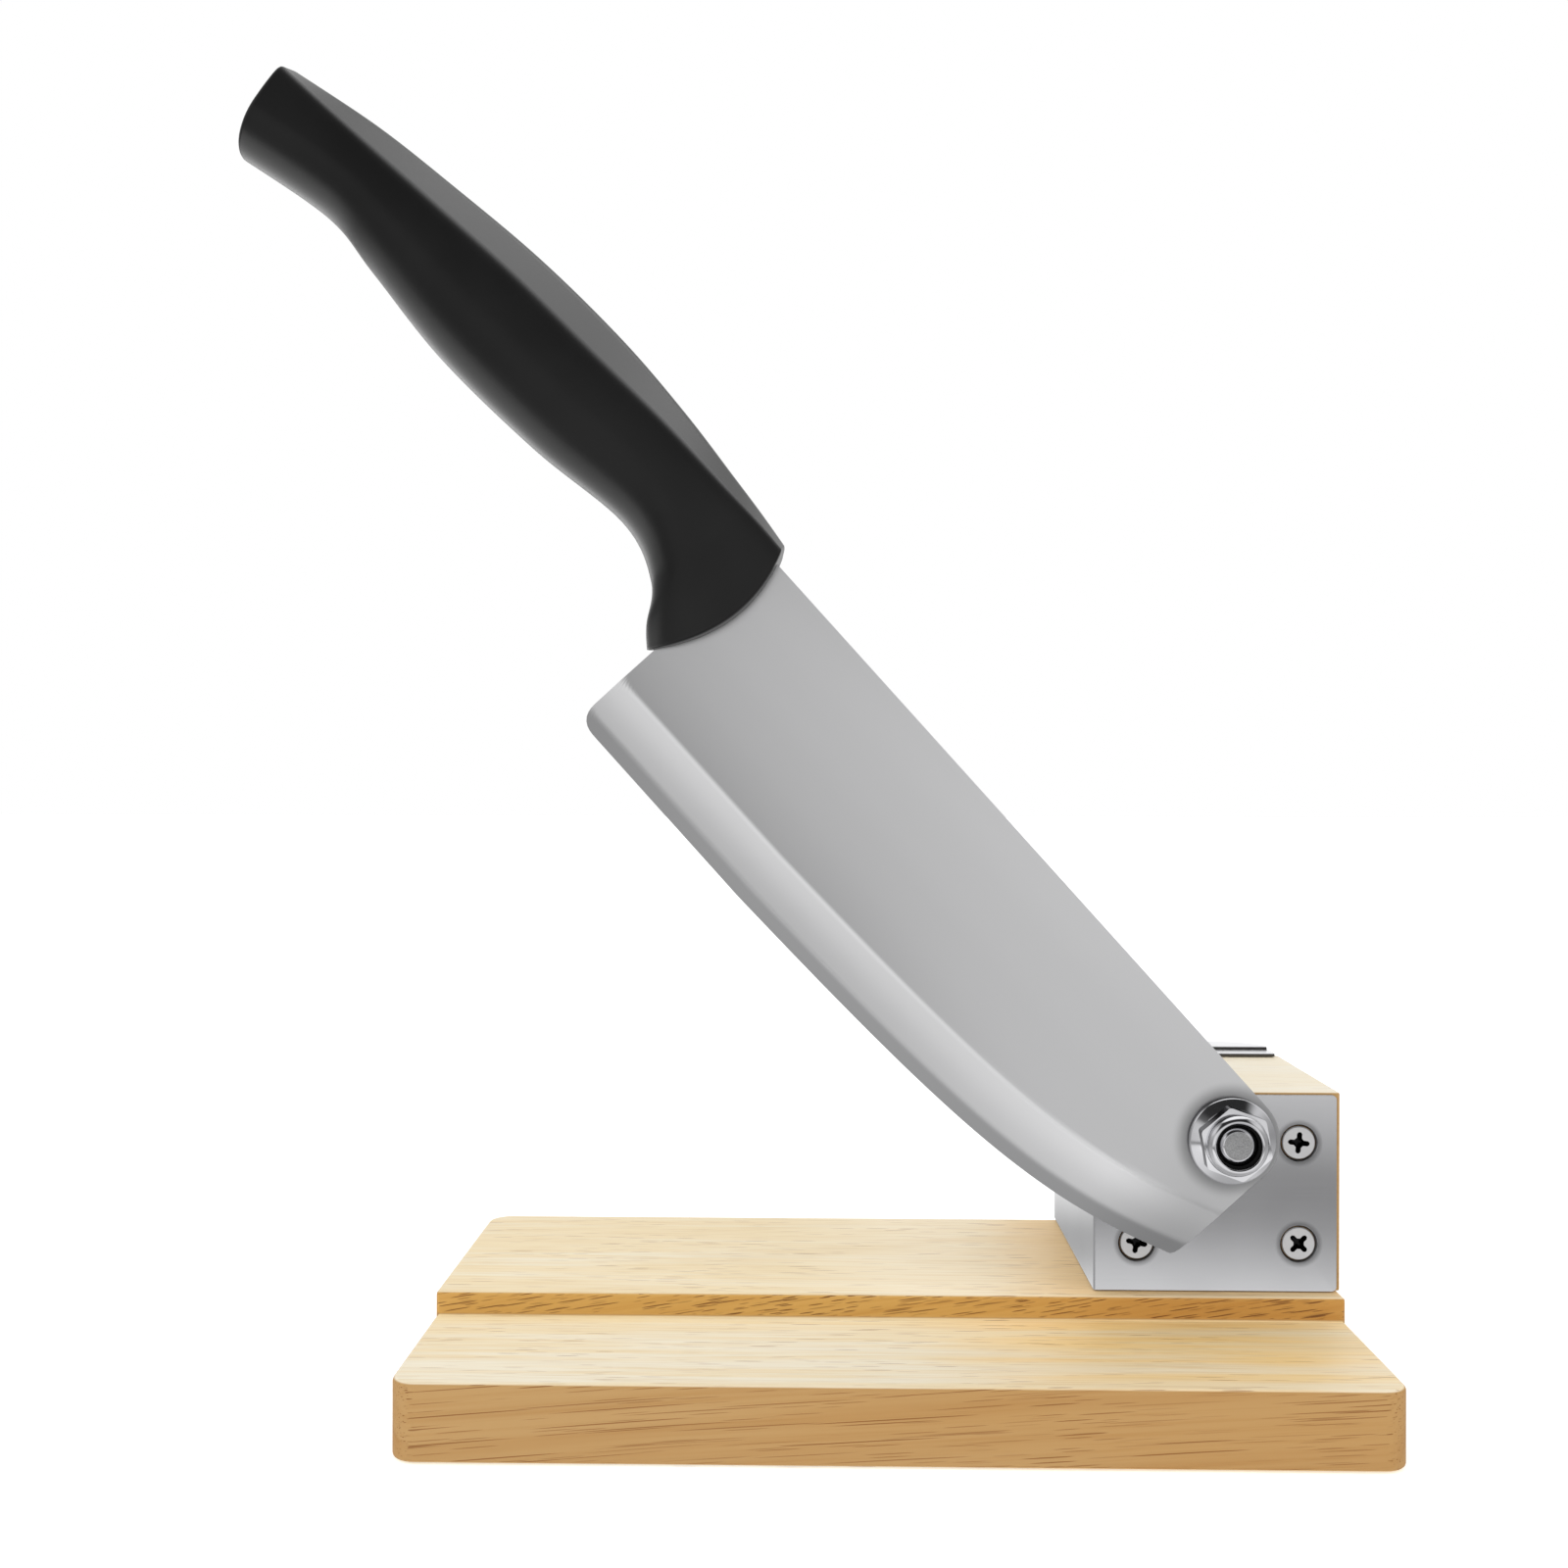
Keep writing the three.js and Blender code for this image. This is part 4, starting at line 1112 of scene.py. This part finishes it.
def make_bolt():
    low, high = place_of("pivot_bolt")
    radius = BOLT_DIAMETER / 2
    corner = HEAD_ACROSS_FLATS / sqrt(3)
    flat = HEAD_ACROSS_FLATS / 2
    seat = high.y - HEAD_HEIGHT
    bolt = hexagon("pivot_bolt_finished", HEAD_ACROSS_FLATS, seat, high.y, PIVOT_FRAME)
    dome = eased([
        (0, seat - JUST_PAST),
        (corner, seat - JUST_PAST),
        (corner, high.y - (corner - flat)),
        (flat * HEX_FACE, high.y),
        (0, high.y),
    ], HEAD_EDGE, 3)
    combine(bolt, [on_pivot("dome", dome, 96)], "INTERSECT")
    shank = eased([
        (0, low.y),
        (radius - BOLT_CHAMFER, low.y),
        (radius, low.y + BOLT_CHAMFER_DEPTH),
        (radius, seat + JUST_PAST),
        (0, seat + JUST_PAST),
    ], SHANK_EDGE, 4)
    combine(bolt, [on_pivot("shank", shank, 72)], "UNION")

    def cropped(place, normal):
        return normal.y < -0.99 and place.y < low.y + 0.1

    paint(bolt, steels["bright"], cut_steel, cropped)
    finish(bolt, "pivot_bolt", "base", None)


def nut_bore(seat, top):
    """The hole through the nut, with the pocket of its locking ring."""
    mouth = COLLAR_MOUTH / 2
    pocket = INSERT_DIAMETER / 2 + PILOT_GAP
    pocket_end = top + COLLAR_RIM + INSERT_THICKNESS + 2 * PILOT_GAP
    return [
        (0, seat + JUST_PAST),
        (BOLT_HOLE_RADIUS, seat + JUST_PAST),
        (BOLT_HOLE_RADIUS, pocket_end),
        (pocket, pocket_end),
        (pocket, top + COLLAR_RIM),
        (mouth, top + COLLAR_RIM),
        (mouth, top + 0.25),
        (mouth + 0.1, top + 0.1),
        (mouth + 0.3, top),
        (mouth + 0.3, top - JUST_PAST),
        (0, top - JUST_PAST),
    ]


def make_nut():
    """A hexagon with a chamfer, joined to a flange and a rounded collar with a groove round it."""
    low, high = place_of("flange_nut")
    seat, top = high.y, low.y
    shoulder = seat - HEX_HEIGHT
    flats = NUT_ACROSS_FLATS / 2
    corners = NUT_ACROSS_FLATS / sqrt(3)
    rim = FLANGE_DIAMETER / 2
    turned = PIVOT_FRAME @ turn(NUT_TURN, "Y")
    nut = hexagon("flange_nut_finished", NUT_ACROSS_FLATS, shoulder, seat - 0.2, turned)
    outside = corners + JUST_PAST
    chamfer = eased([
        (0, seat),
        (outside, seat),
        (outside, shoulder + (outside - flats) * HEX_CHAMFER),
        (flats * HEX_FACE, shoulder),
        (0, shoulder),
    ], HEX_EDGE, 3)
    combine(nut, [on_pivot("chamfer", chamfer, 96)], "INTERSECT")
    flange = eased([
        (0, seat),
        (rim, seat),
        (rim, seat - FLANGE_RIM),
        (flats, seat - FLANGE_HEIGHT),
        (0, seat - FLANGE_HEIGHT),
    ], FLANGE_EDGE, 4)
    collar_radius = COLLAR_DIAMETER / 2
    collar = [(0, seat - 0.1), (collar_radius, seat - 0.1), (collar_radius, top + COLLAR_ROUND)]
    collar += arc(collar_radius - COLLAR_ROUND, top + COLLAR_ROUND, COLLAR_ROUND, 0, -90)[1:]
    collar += [(0, top)]
    combine(nut, [on_pivot("flange", flange, 96), on_pivot("collar", collar, 96)], "UNION")
    groove_end = collar_radius + COLLAR_GROOVE
    groove = [
        (collar_radius, shoulder - JUST_PAST),
        (groove_end, shoulder - JUST_PAST),
        (groove_end, shoulder + COLLAR_GROOVE),
        (collar_radius, shoulder + COLLAR_GROOVE),
    ]
    combine(nut, [on_pivot("bore", nut_bore(seat, top), 96), on_pivot("groove", groove, 96, closed=True)])

    def on_flat(place, normal):
        reach = hypot(place.x, place.z)
        return abs(normal.y) < 0.2 and collar_radius + 0.1 < reach < corners and place.y > shoulder

    # The hexagon's flats get a darker copy of the steel as painted shade
    paint(nut, steels["bright"], steels["shaded_flats"], on_flat)
    finish(nut, "flange_nut", "base", None, 28)


def make_insert():
    inner, outer = BOLT_DIAMETER / 2 + PILOT_GAP, INSERT_DIAMETER / 2
    make_ring("nut_insert", inner, outer, INSERT_EDGE, 4, matts["black_nylon"])


# Knife

def edge_line(steps):
    """The cutting edge from the tip to the start of the heel's corner, in X and Z."""
    end = Vector((-HEEL_REACH + HEEL_RADIUS, -EDGE_DROP))
    straight = end + Vector((STRAIGHT_EDGE, 0))
    tip = Vector((SPINE_RISE - TIP_RADIUS, -TIP_DROP))
    pulls = [straight + Vector(pull) for pull in (TIP_PULL, STRAIGHT_PULL)]
    return bend(steps, tip, *pulls, straight) + [end]


def resampled(points, count):
    """Points at even steps along a line."""
    points = [Vector(p) for p in points]
    lengths = [0]
    for a, b in zip(points, points[1:]):
        lengths.append(lengths[-1] + (b - a).length)
    result = []
    span = 0
    for i in range(count):
        target = lengths[-1] * i / (count - 1)
        while span < len(points) - 2 and lengths[span + 1] < target:
            span += 1
        share = (target - lengths[span]) / (lengths[span + 1] - lengths[span])
        result.append(points[span].lerp(points[span + 1], min(share, 1)))
    return result


def distance_to_line(point, line):
    best = inf
    for a, b in zip(line, line[1:]):
        along = b - a
        share = max(0, min(1, (point - a).dot(along) / along.length_squared))
        best = min(best, (point - a - along * share).length)
    return best


def smooth(value, low, high):
    share = max(0, min(1, (value - low) / (high - low)))
    return share * share * (3 - 2 * share)


def ground_depth(distance, width):
    """How far grinding has taken the face back, at a distance from the edge on a blade so wide there."""
    full = BLADE_THICKNESS - EDGE_THICKNESS
    band = EDGE_BAND_SHARE * full
    if distance < EDGE_BAND:
        return full - (full - band) * distance / EDGE_BAND
    if distance < BEVEL_WIDTH:
        share = (distance - EDGE_BAND) / (BEVEL_WIDTH - EDGE_BAND)
        return band + (SHOULDER_DEPTH - band) * ((1 + BEVEL_BOW) * share - BEVEL_BOW * share**2)
    share = (distance - BEVEL_WIDTH) / max(width - BEVEL_WIDTH, 1)
    left = max(0, 1 - share)
    return SHOULDER_DEPTH * left + 27 / 4 * HOLLOW_DEPTH * share * left**2


def painted_steel_shading(distance, width, x):
    """Painted light and shade on the ground steel: dull along the edge, a painted highlight at the
    shoulder, painted shade just above, and darker towards the tip, and on the face towards the heel.
    """
    band = EDGE_TONE + BAND_RISE * smooth(distance, EDGE_BAND - 0.8, EDGE_BAND + 0.8)
    bevel = band + BEVEL_RISE * smooth(distance, EDGE_BAND, BEVEL_WIDTH)
    # Painted highlight along the shoulder
    painted_shine = SHOULDER_PAINTED_HIGHLIGHT * smooth(distance, BEVEL_WIDTH - 0.7, BEVEL_WIDTH)
    ground = (bevel + painted_shine) * (1 - BEVEL_TIP_PAINTED_SHADE * smooth(x, *BEVEL_TIP_X))
    low = FACE_LOW - FACE_HEEL_PAINTED_SHADE * smooth(x, *FACE_HEEL_X)
    climb = (distance - BEVEL_WIDTH) / max(width - BEVEL_WIDTH, 1)
    face = low + (FACE_HIGH - low) * max(0, min(1, climb)) ** 0.6
    face *= 1 - FACE_TIP_PAINTED_SHADE * smooth(x, *FACE_TIP_X)
    return ground + (face - ground) * smooth(distance, BEVEL_WIDTH + 0.1, BEVEL_WIDTH + 0.9)


def blade_mesh(bottom, top, edge):
    """A plate between its edge and its back, ground on the front, with painted light and shade on each
    vertex as its tone.
    """
    bm = bmesh.new()
    # Painted light and shade on each vertex, stored as its tone
    painted_light_layer = bm.verts.layers.float.new("tone")
    front, back = [], []
    base = NEAR_ROWS[-1]
    for low, high in zip(bottom, top):
        length = (high - low).length
        width = distance_to_line(high, edge)
        front.append([])
        back.append([])
        for row in NEAR_ROWS + [base + (length - base) * (i + 1) / FAR_ROWS for i in range(FAR_ROWS)]:
            spot = low.lerp(high, row / length)
            distance = distance_to_line(spot, edge)
            ground = bm.verts.new((spot.x, -BLADE_THICKNESS + ground_depth(distance, width), spot.y))
            ground[painted_light_layer] = painted_steel_shading(distance, width, spot.x)
            front[-1].append(ground)
            behind = bm.verts.new((spot.x, 0, spot.y))
            behind[painted_light_layer] = BACK_TONE
            back[-1].append(behind)
    for sheet in (front, back):
        for a, b in zip(sheet, sheet[1:]):
            for i in range(len(a) - 1):
                bm.faces.new([a[i], b[i], b[i + 1], a[i + 1]])
    for i in range(len(front) - 1):
        for j in (0, -1):
            bm.faces.new([front[i][j], front[i + 1][j], back[i + 1][j], back[i][j]])
    for i in (0, -1):
        for j in range(len(front[i]) - 1):
            bm.faces.new([front[i][j], front[i][j + 1], back[i][j + 1], back[i][j]])
    bmesh.ops.recalc_face_normals(bm, faces=bm.faces)
    return bm


def box_outline(near, far, low, high):
    """A rectangle in X and Z."""
    return [(near, high), (far, high), (far, low), (near, low)]


def make_blade():
    edge = edge_line(60)
    first, last = edge[0], edge[-1]
    tip_start, tip = Vector((SPINE_RISE, -TIP_DROP + 1.5 * TIP_RADIUS)), Vector((SPINE_RISE, -TIP_DROP))
    heel, heel_end = Vector((-HEEL_REACH, -EDGE_DROP)), Vector((-HEEL_REACH, -EDGE_DROP + HEEL_RADIUS))
    bottom = bend(10, tip_start, tip, first) + edge[1:-1] + bend(10, last, heel, heel_end)
    top = arc(0, 0, SPINE_RISE, 0, 90, 16) + [(-HEEL_REACH, SPINE_RISE)]
    beyond = 60
    before_tip = first + (first - edge[1]).normalized() * beyond
    past_heel = last + (last - edge[-2]).normalized() * beyond
    line = [before_tip, *edge, past_heel]
    mesh = blade_mesh(resampled(bottom, BLADE_COLUMNS), resampled(top, BLADE_COLUMNS), line)
    blade = placed("blade_finished", mesh, KNIFE_FRAME)
    combine(blade, [placed("hole", lathe(rod(BOLT_HOLE_RADIUS, -PAST, PAST)), KNIFE_FRAME)])
    half = TANG_HEIGHT / 2
    outline = box_outline(-HEEL_REACH + 0.5, -HEEL_REACH - TANG_LENGTH, -half, half)
    tang = prism(outline, facing, -BLADE_THICKNESS + 0.3, -0.02)
    combine(blade, [placed("tang", tang, KNIFE_FRAME)], "UNION")
    finish(blade, "blade", "knife", blade_steel, 20)


def grip_half(facet):
    """Half of the handle's section from back to belly: share of its height and of its half width."""
    half = [(0, 0), (0, BACK_FLAT), (facet, FACET_WIDTH), (facet + 0.5 * (0.5 - facet), SIDE_WIDTH)]
    for i in range(BELLY_STEPS + 1):
        angle = pi / 2 * i / BELLY_STEPS
        half.append((BELLY_START + (1 - BELLY_START) * sin(angle), cos(angle)))
    return half


def grip_ring(t, scale, inset):
    """The handle's section at share t of its length, drawn in by an inset and to its centre by a scale."""
    back = curve_through(GRIP_BACK, t)
    belly = curve_through(GRIP_BELLY, t)
    facet = curve_through(GRIP_FACET, t)[0]
    half_width = HANDLE_THICKNESS / 2 * curve_through(GRIP_WIDTH, t)[0]
    height = (back - belly).length
    tall = scale * (1 - 2 * inset / height)
    wide = scale * (1 - inset / half_width)
    front_curve = FRONT_BULGE * max(0, 1 - t / FRONT_BLEND)
    butt_curve = BUTT_BULGE * max(0, 1 - (1 - t) / BUTT_BLEND)
    bulge = butt_curve - front_curve
    middle = -BLADE_THICKNESS / 2

    def spot(share, side):
        share = 0.5 + (share - 0.5) * tall
        reach = back.x + (belly.x - back.x) * share + bulge * 4 * share * (1 - share)
        level = back.y + (belly.y - back.y) * share
        return Vector((-HEEL_REACH - reach, middle + side * half_width * wide, level))

    half = eased(grip_half(facet), GRIP_EASE, 5)
    near = [spot(share, -width) for share, width in half]
    far = [spot(share, width) for share, width in half[1:-1]]
    return near + far[::-1]


def grip_rim(radius, length):
    """Shares of the handle's length and insets over a rounded rim, from its end inwards."""
    angles = [pi / 2 * i / RIM_STEPS for i in range(RIM_STEPS + 1)]
    return [(radius * (1 - cos(a)) / length, radius * (1 - sin(a))) for a in angles]


def make_handle():
    """Rings from the middle of the front over its rounded rim, along the grip and over the butt."""
    length = GRIP_BACK[-1][0] - GRIP_BACK[0][0]
    start, end = FRONT_ROUND / length, 1 - BUTT_ROUND / length
    stations = [(0, scale, FRONT_ROUND) for scale in CAP_SHARES]
    stations += [(t, 1, inset) for t, inset in grip_rim(FRONT_ROUND, length)]
    stations += [(start + (end - start) * i / GRIP_STEPS, 1, 0) for i in range(1, GRIP_STEPS)]
    stations += [(1 - t, 1, inset) for t, inset in reversed(grip_rim(BUTT_ROUND, length))]
    stations += [(1, scale, BUTT_ROUND) for scale in reversed(CAP_SHARES)]
    handle = placed("handle_finished", skin([grip_ring(*station) for station in stations]), KNIFE_FRAME)
    gap = HANDLE_GAP
    half = TANG_HEIGHT / 2 + gap
    slots = [
        box_outline(2 * SPINE_RISE, -HEEL_REACH - gap, -EDGE_DROP - JUST_PAST, SPINE_RISE + gap),
        box_outline(-HEEL_REACH + PAST, -HEEL_REACH - TANG_LENGTH - gap, -half, half),
    ]
    cutters = [prism(slot, facing, -BLADE_THICKNESS - gap, gap) for slot in slots]
    combine(handle, [placed("slot", cutter, KNIFE_FRAME) for cutter in cutters])
    butt = -HEEL_REACH - GRIP_BELLY[-1][0] + BUTT_ROUND

    def on_butt(place, normal):
        return normal.x < -0.8 and place.x < butt

    paint(handle, matts["black_plastic"], matts["dull_plastic"], on_butt)
    finish(handle, "handle", "knife", None, 40)
    return handle


make_board()
make_block()
make_cover()
make_rear_plate()
make_screws()
make_washers()
make_bolt()
make_nut()
make_insert()
make_blade()
handle = make_handle()


# Stage

def make_floor():
    material, nodes, shader = new_material("floor")
    nodes.fill(shader, {
        "Base Color": (0.95, 0.95, 0.95, 1),
        "Emission Color": (1, 1, 1, 1),
        "Emission Strength": FLOOR_GLOW,
        "Roughness": 0.9,
        "Specular IOR Level": 0,
    })
    half = FLOOR_HALF
    outline = [(-half, -half), (half, -half), (half, half), (-half, half)]
    floor = placed("floor", solid([[(x, y, -FLOOR_DROP) for x, y in outline]]))
    floor.data.materials.append(material)
    floor.visible_glossy = False


def make_camera():
    camera = new_object("camera", bpy.data.cameras.new("camera"))
    camera.data.sensor_width = SENSOR_WIDTH
    camera.data.lens = SENSOR_WIDTH * FOCAL_PIXELS / IMAGE_PIXELS
    camera.data.clip_start = 0.01
    turned = turn(-CAMERA_YAW, "Z") @ turn(90 + CAMERA_PITCH, "X") @ turn(CAMERA_ROLL, "Z")
    camera.matrix_world = shift(*CAMERA_PLACE) @ turned
    bpy.context.scene.camera = camera


def make_world():
    """A bright studio: white to the camera, an even fill on matt surfaces, soft bands in steel."""
    world = bpy.data.worlds.new("studio")
    bpy.context.scene.world = world
    world.use_nodes = True
    nodes = Nodes(world.node_tree)
    across, ahead, up = nodes.split(nodes.add("ShaderNodeTexCoord").outputs["Generated"])
    rise = {0: nodes.math("ARCSINE", up), 1: 1 / pi, 2: 0.5}
    level = nodes.add("ShaderNodeMath", rise, operation="MULTIPLY_ADD").outputs[0]
    front, rear, side = (bands_by_level(nodes, level, b) for b in (FRONT_BANDS, REAR_BANDS, SIDE_BANDS))
    bands = nodes.mix(nodes.fade(ahead, *REAR_SPAN), front, rear)
    bands = nodes.mix(nodes.fade(nodes.math("ABSOLUTE", across), *SIDE_SPAN), bands, side)
    path = nodes.add("ShaderNodeLightPath")
    colour = nodes.mix(path.outputs["Is Glossy Ray"], (FILL, FILL, FILL, 1), bands)
    colour = nodes.mix(path.outputs["Is Camera Ray"], colour, (1, 1, 1, 1))
    nodes.fill(world.node_tree.nodes["Background"], {"Color": colour})


def bands_by_level(nodes, level, stops):
    """Brightness that changes with height in the sky, from pairs of an angle and a brightness."""
    bands = nodes.add("ShaderNodeValToRGB", {0: level})
    ramp = bands.color_ramp
    ramp.interpolation = "EASE"
    while len(ramp.elements) < len(stops):
        ramp.elements.new(0.5)
    for element, (angle, light) in zip(ramp.elements, stops):
        element.position = (angle + 90) / 180
        element.color = (light, light, light, 1)
    return bands.outputs[0]


def new_light(name, kind, power):
    light = new_object(name, bpy.data.lights.new(name, kind))
    light.data.energy = power
    return light


def make_softboxes():
    """Two softboxes that give the black handle its highlights and leave the steel alone."""
    lit = bpy.data.collections.new("lit_handle")
    lit.objects.link(handle)
    for name, direction, width, length, power in SOFTBOXES:
        box = new_light(name, "AREA", power)
        box.data.shape = "RECTANGLE"
        box.data.size = width
        box.data.size_y = length
        towards = Vector(direction).normalized()
        across = Vector((0, 1, 0)).cross(towards).normalized()
        box.location = GRIP_CENTRE + SOFTBOX_DISTANCE * towards
        box.rotation_euler = Matrix((across, towards.cross(across), towards)).transposed().to_euler()
        box.light_linking.receiver_collection = lit


def make_sun():
    """A very soft light from above that reaches the whole floor alike."""
    sun = new_light("sun", "SUN", SUN_POWER)
    sun.data.angle = radians(SUN_ANGLE)
    sun.rotation_euler = [radians(a) for a in SUN_TILT]
    sun.visible_glossy = False


make_floor()
make_camera()
make_world()
make_sun()
make_softboxes()
bpy.context.scene.view_settings.view_transform = "Standard"
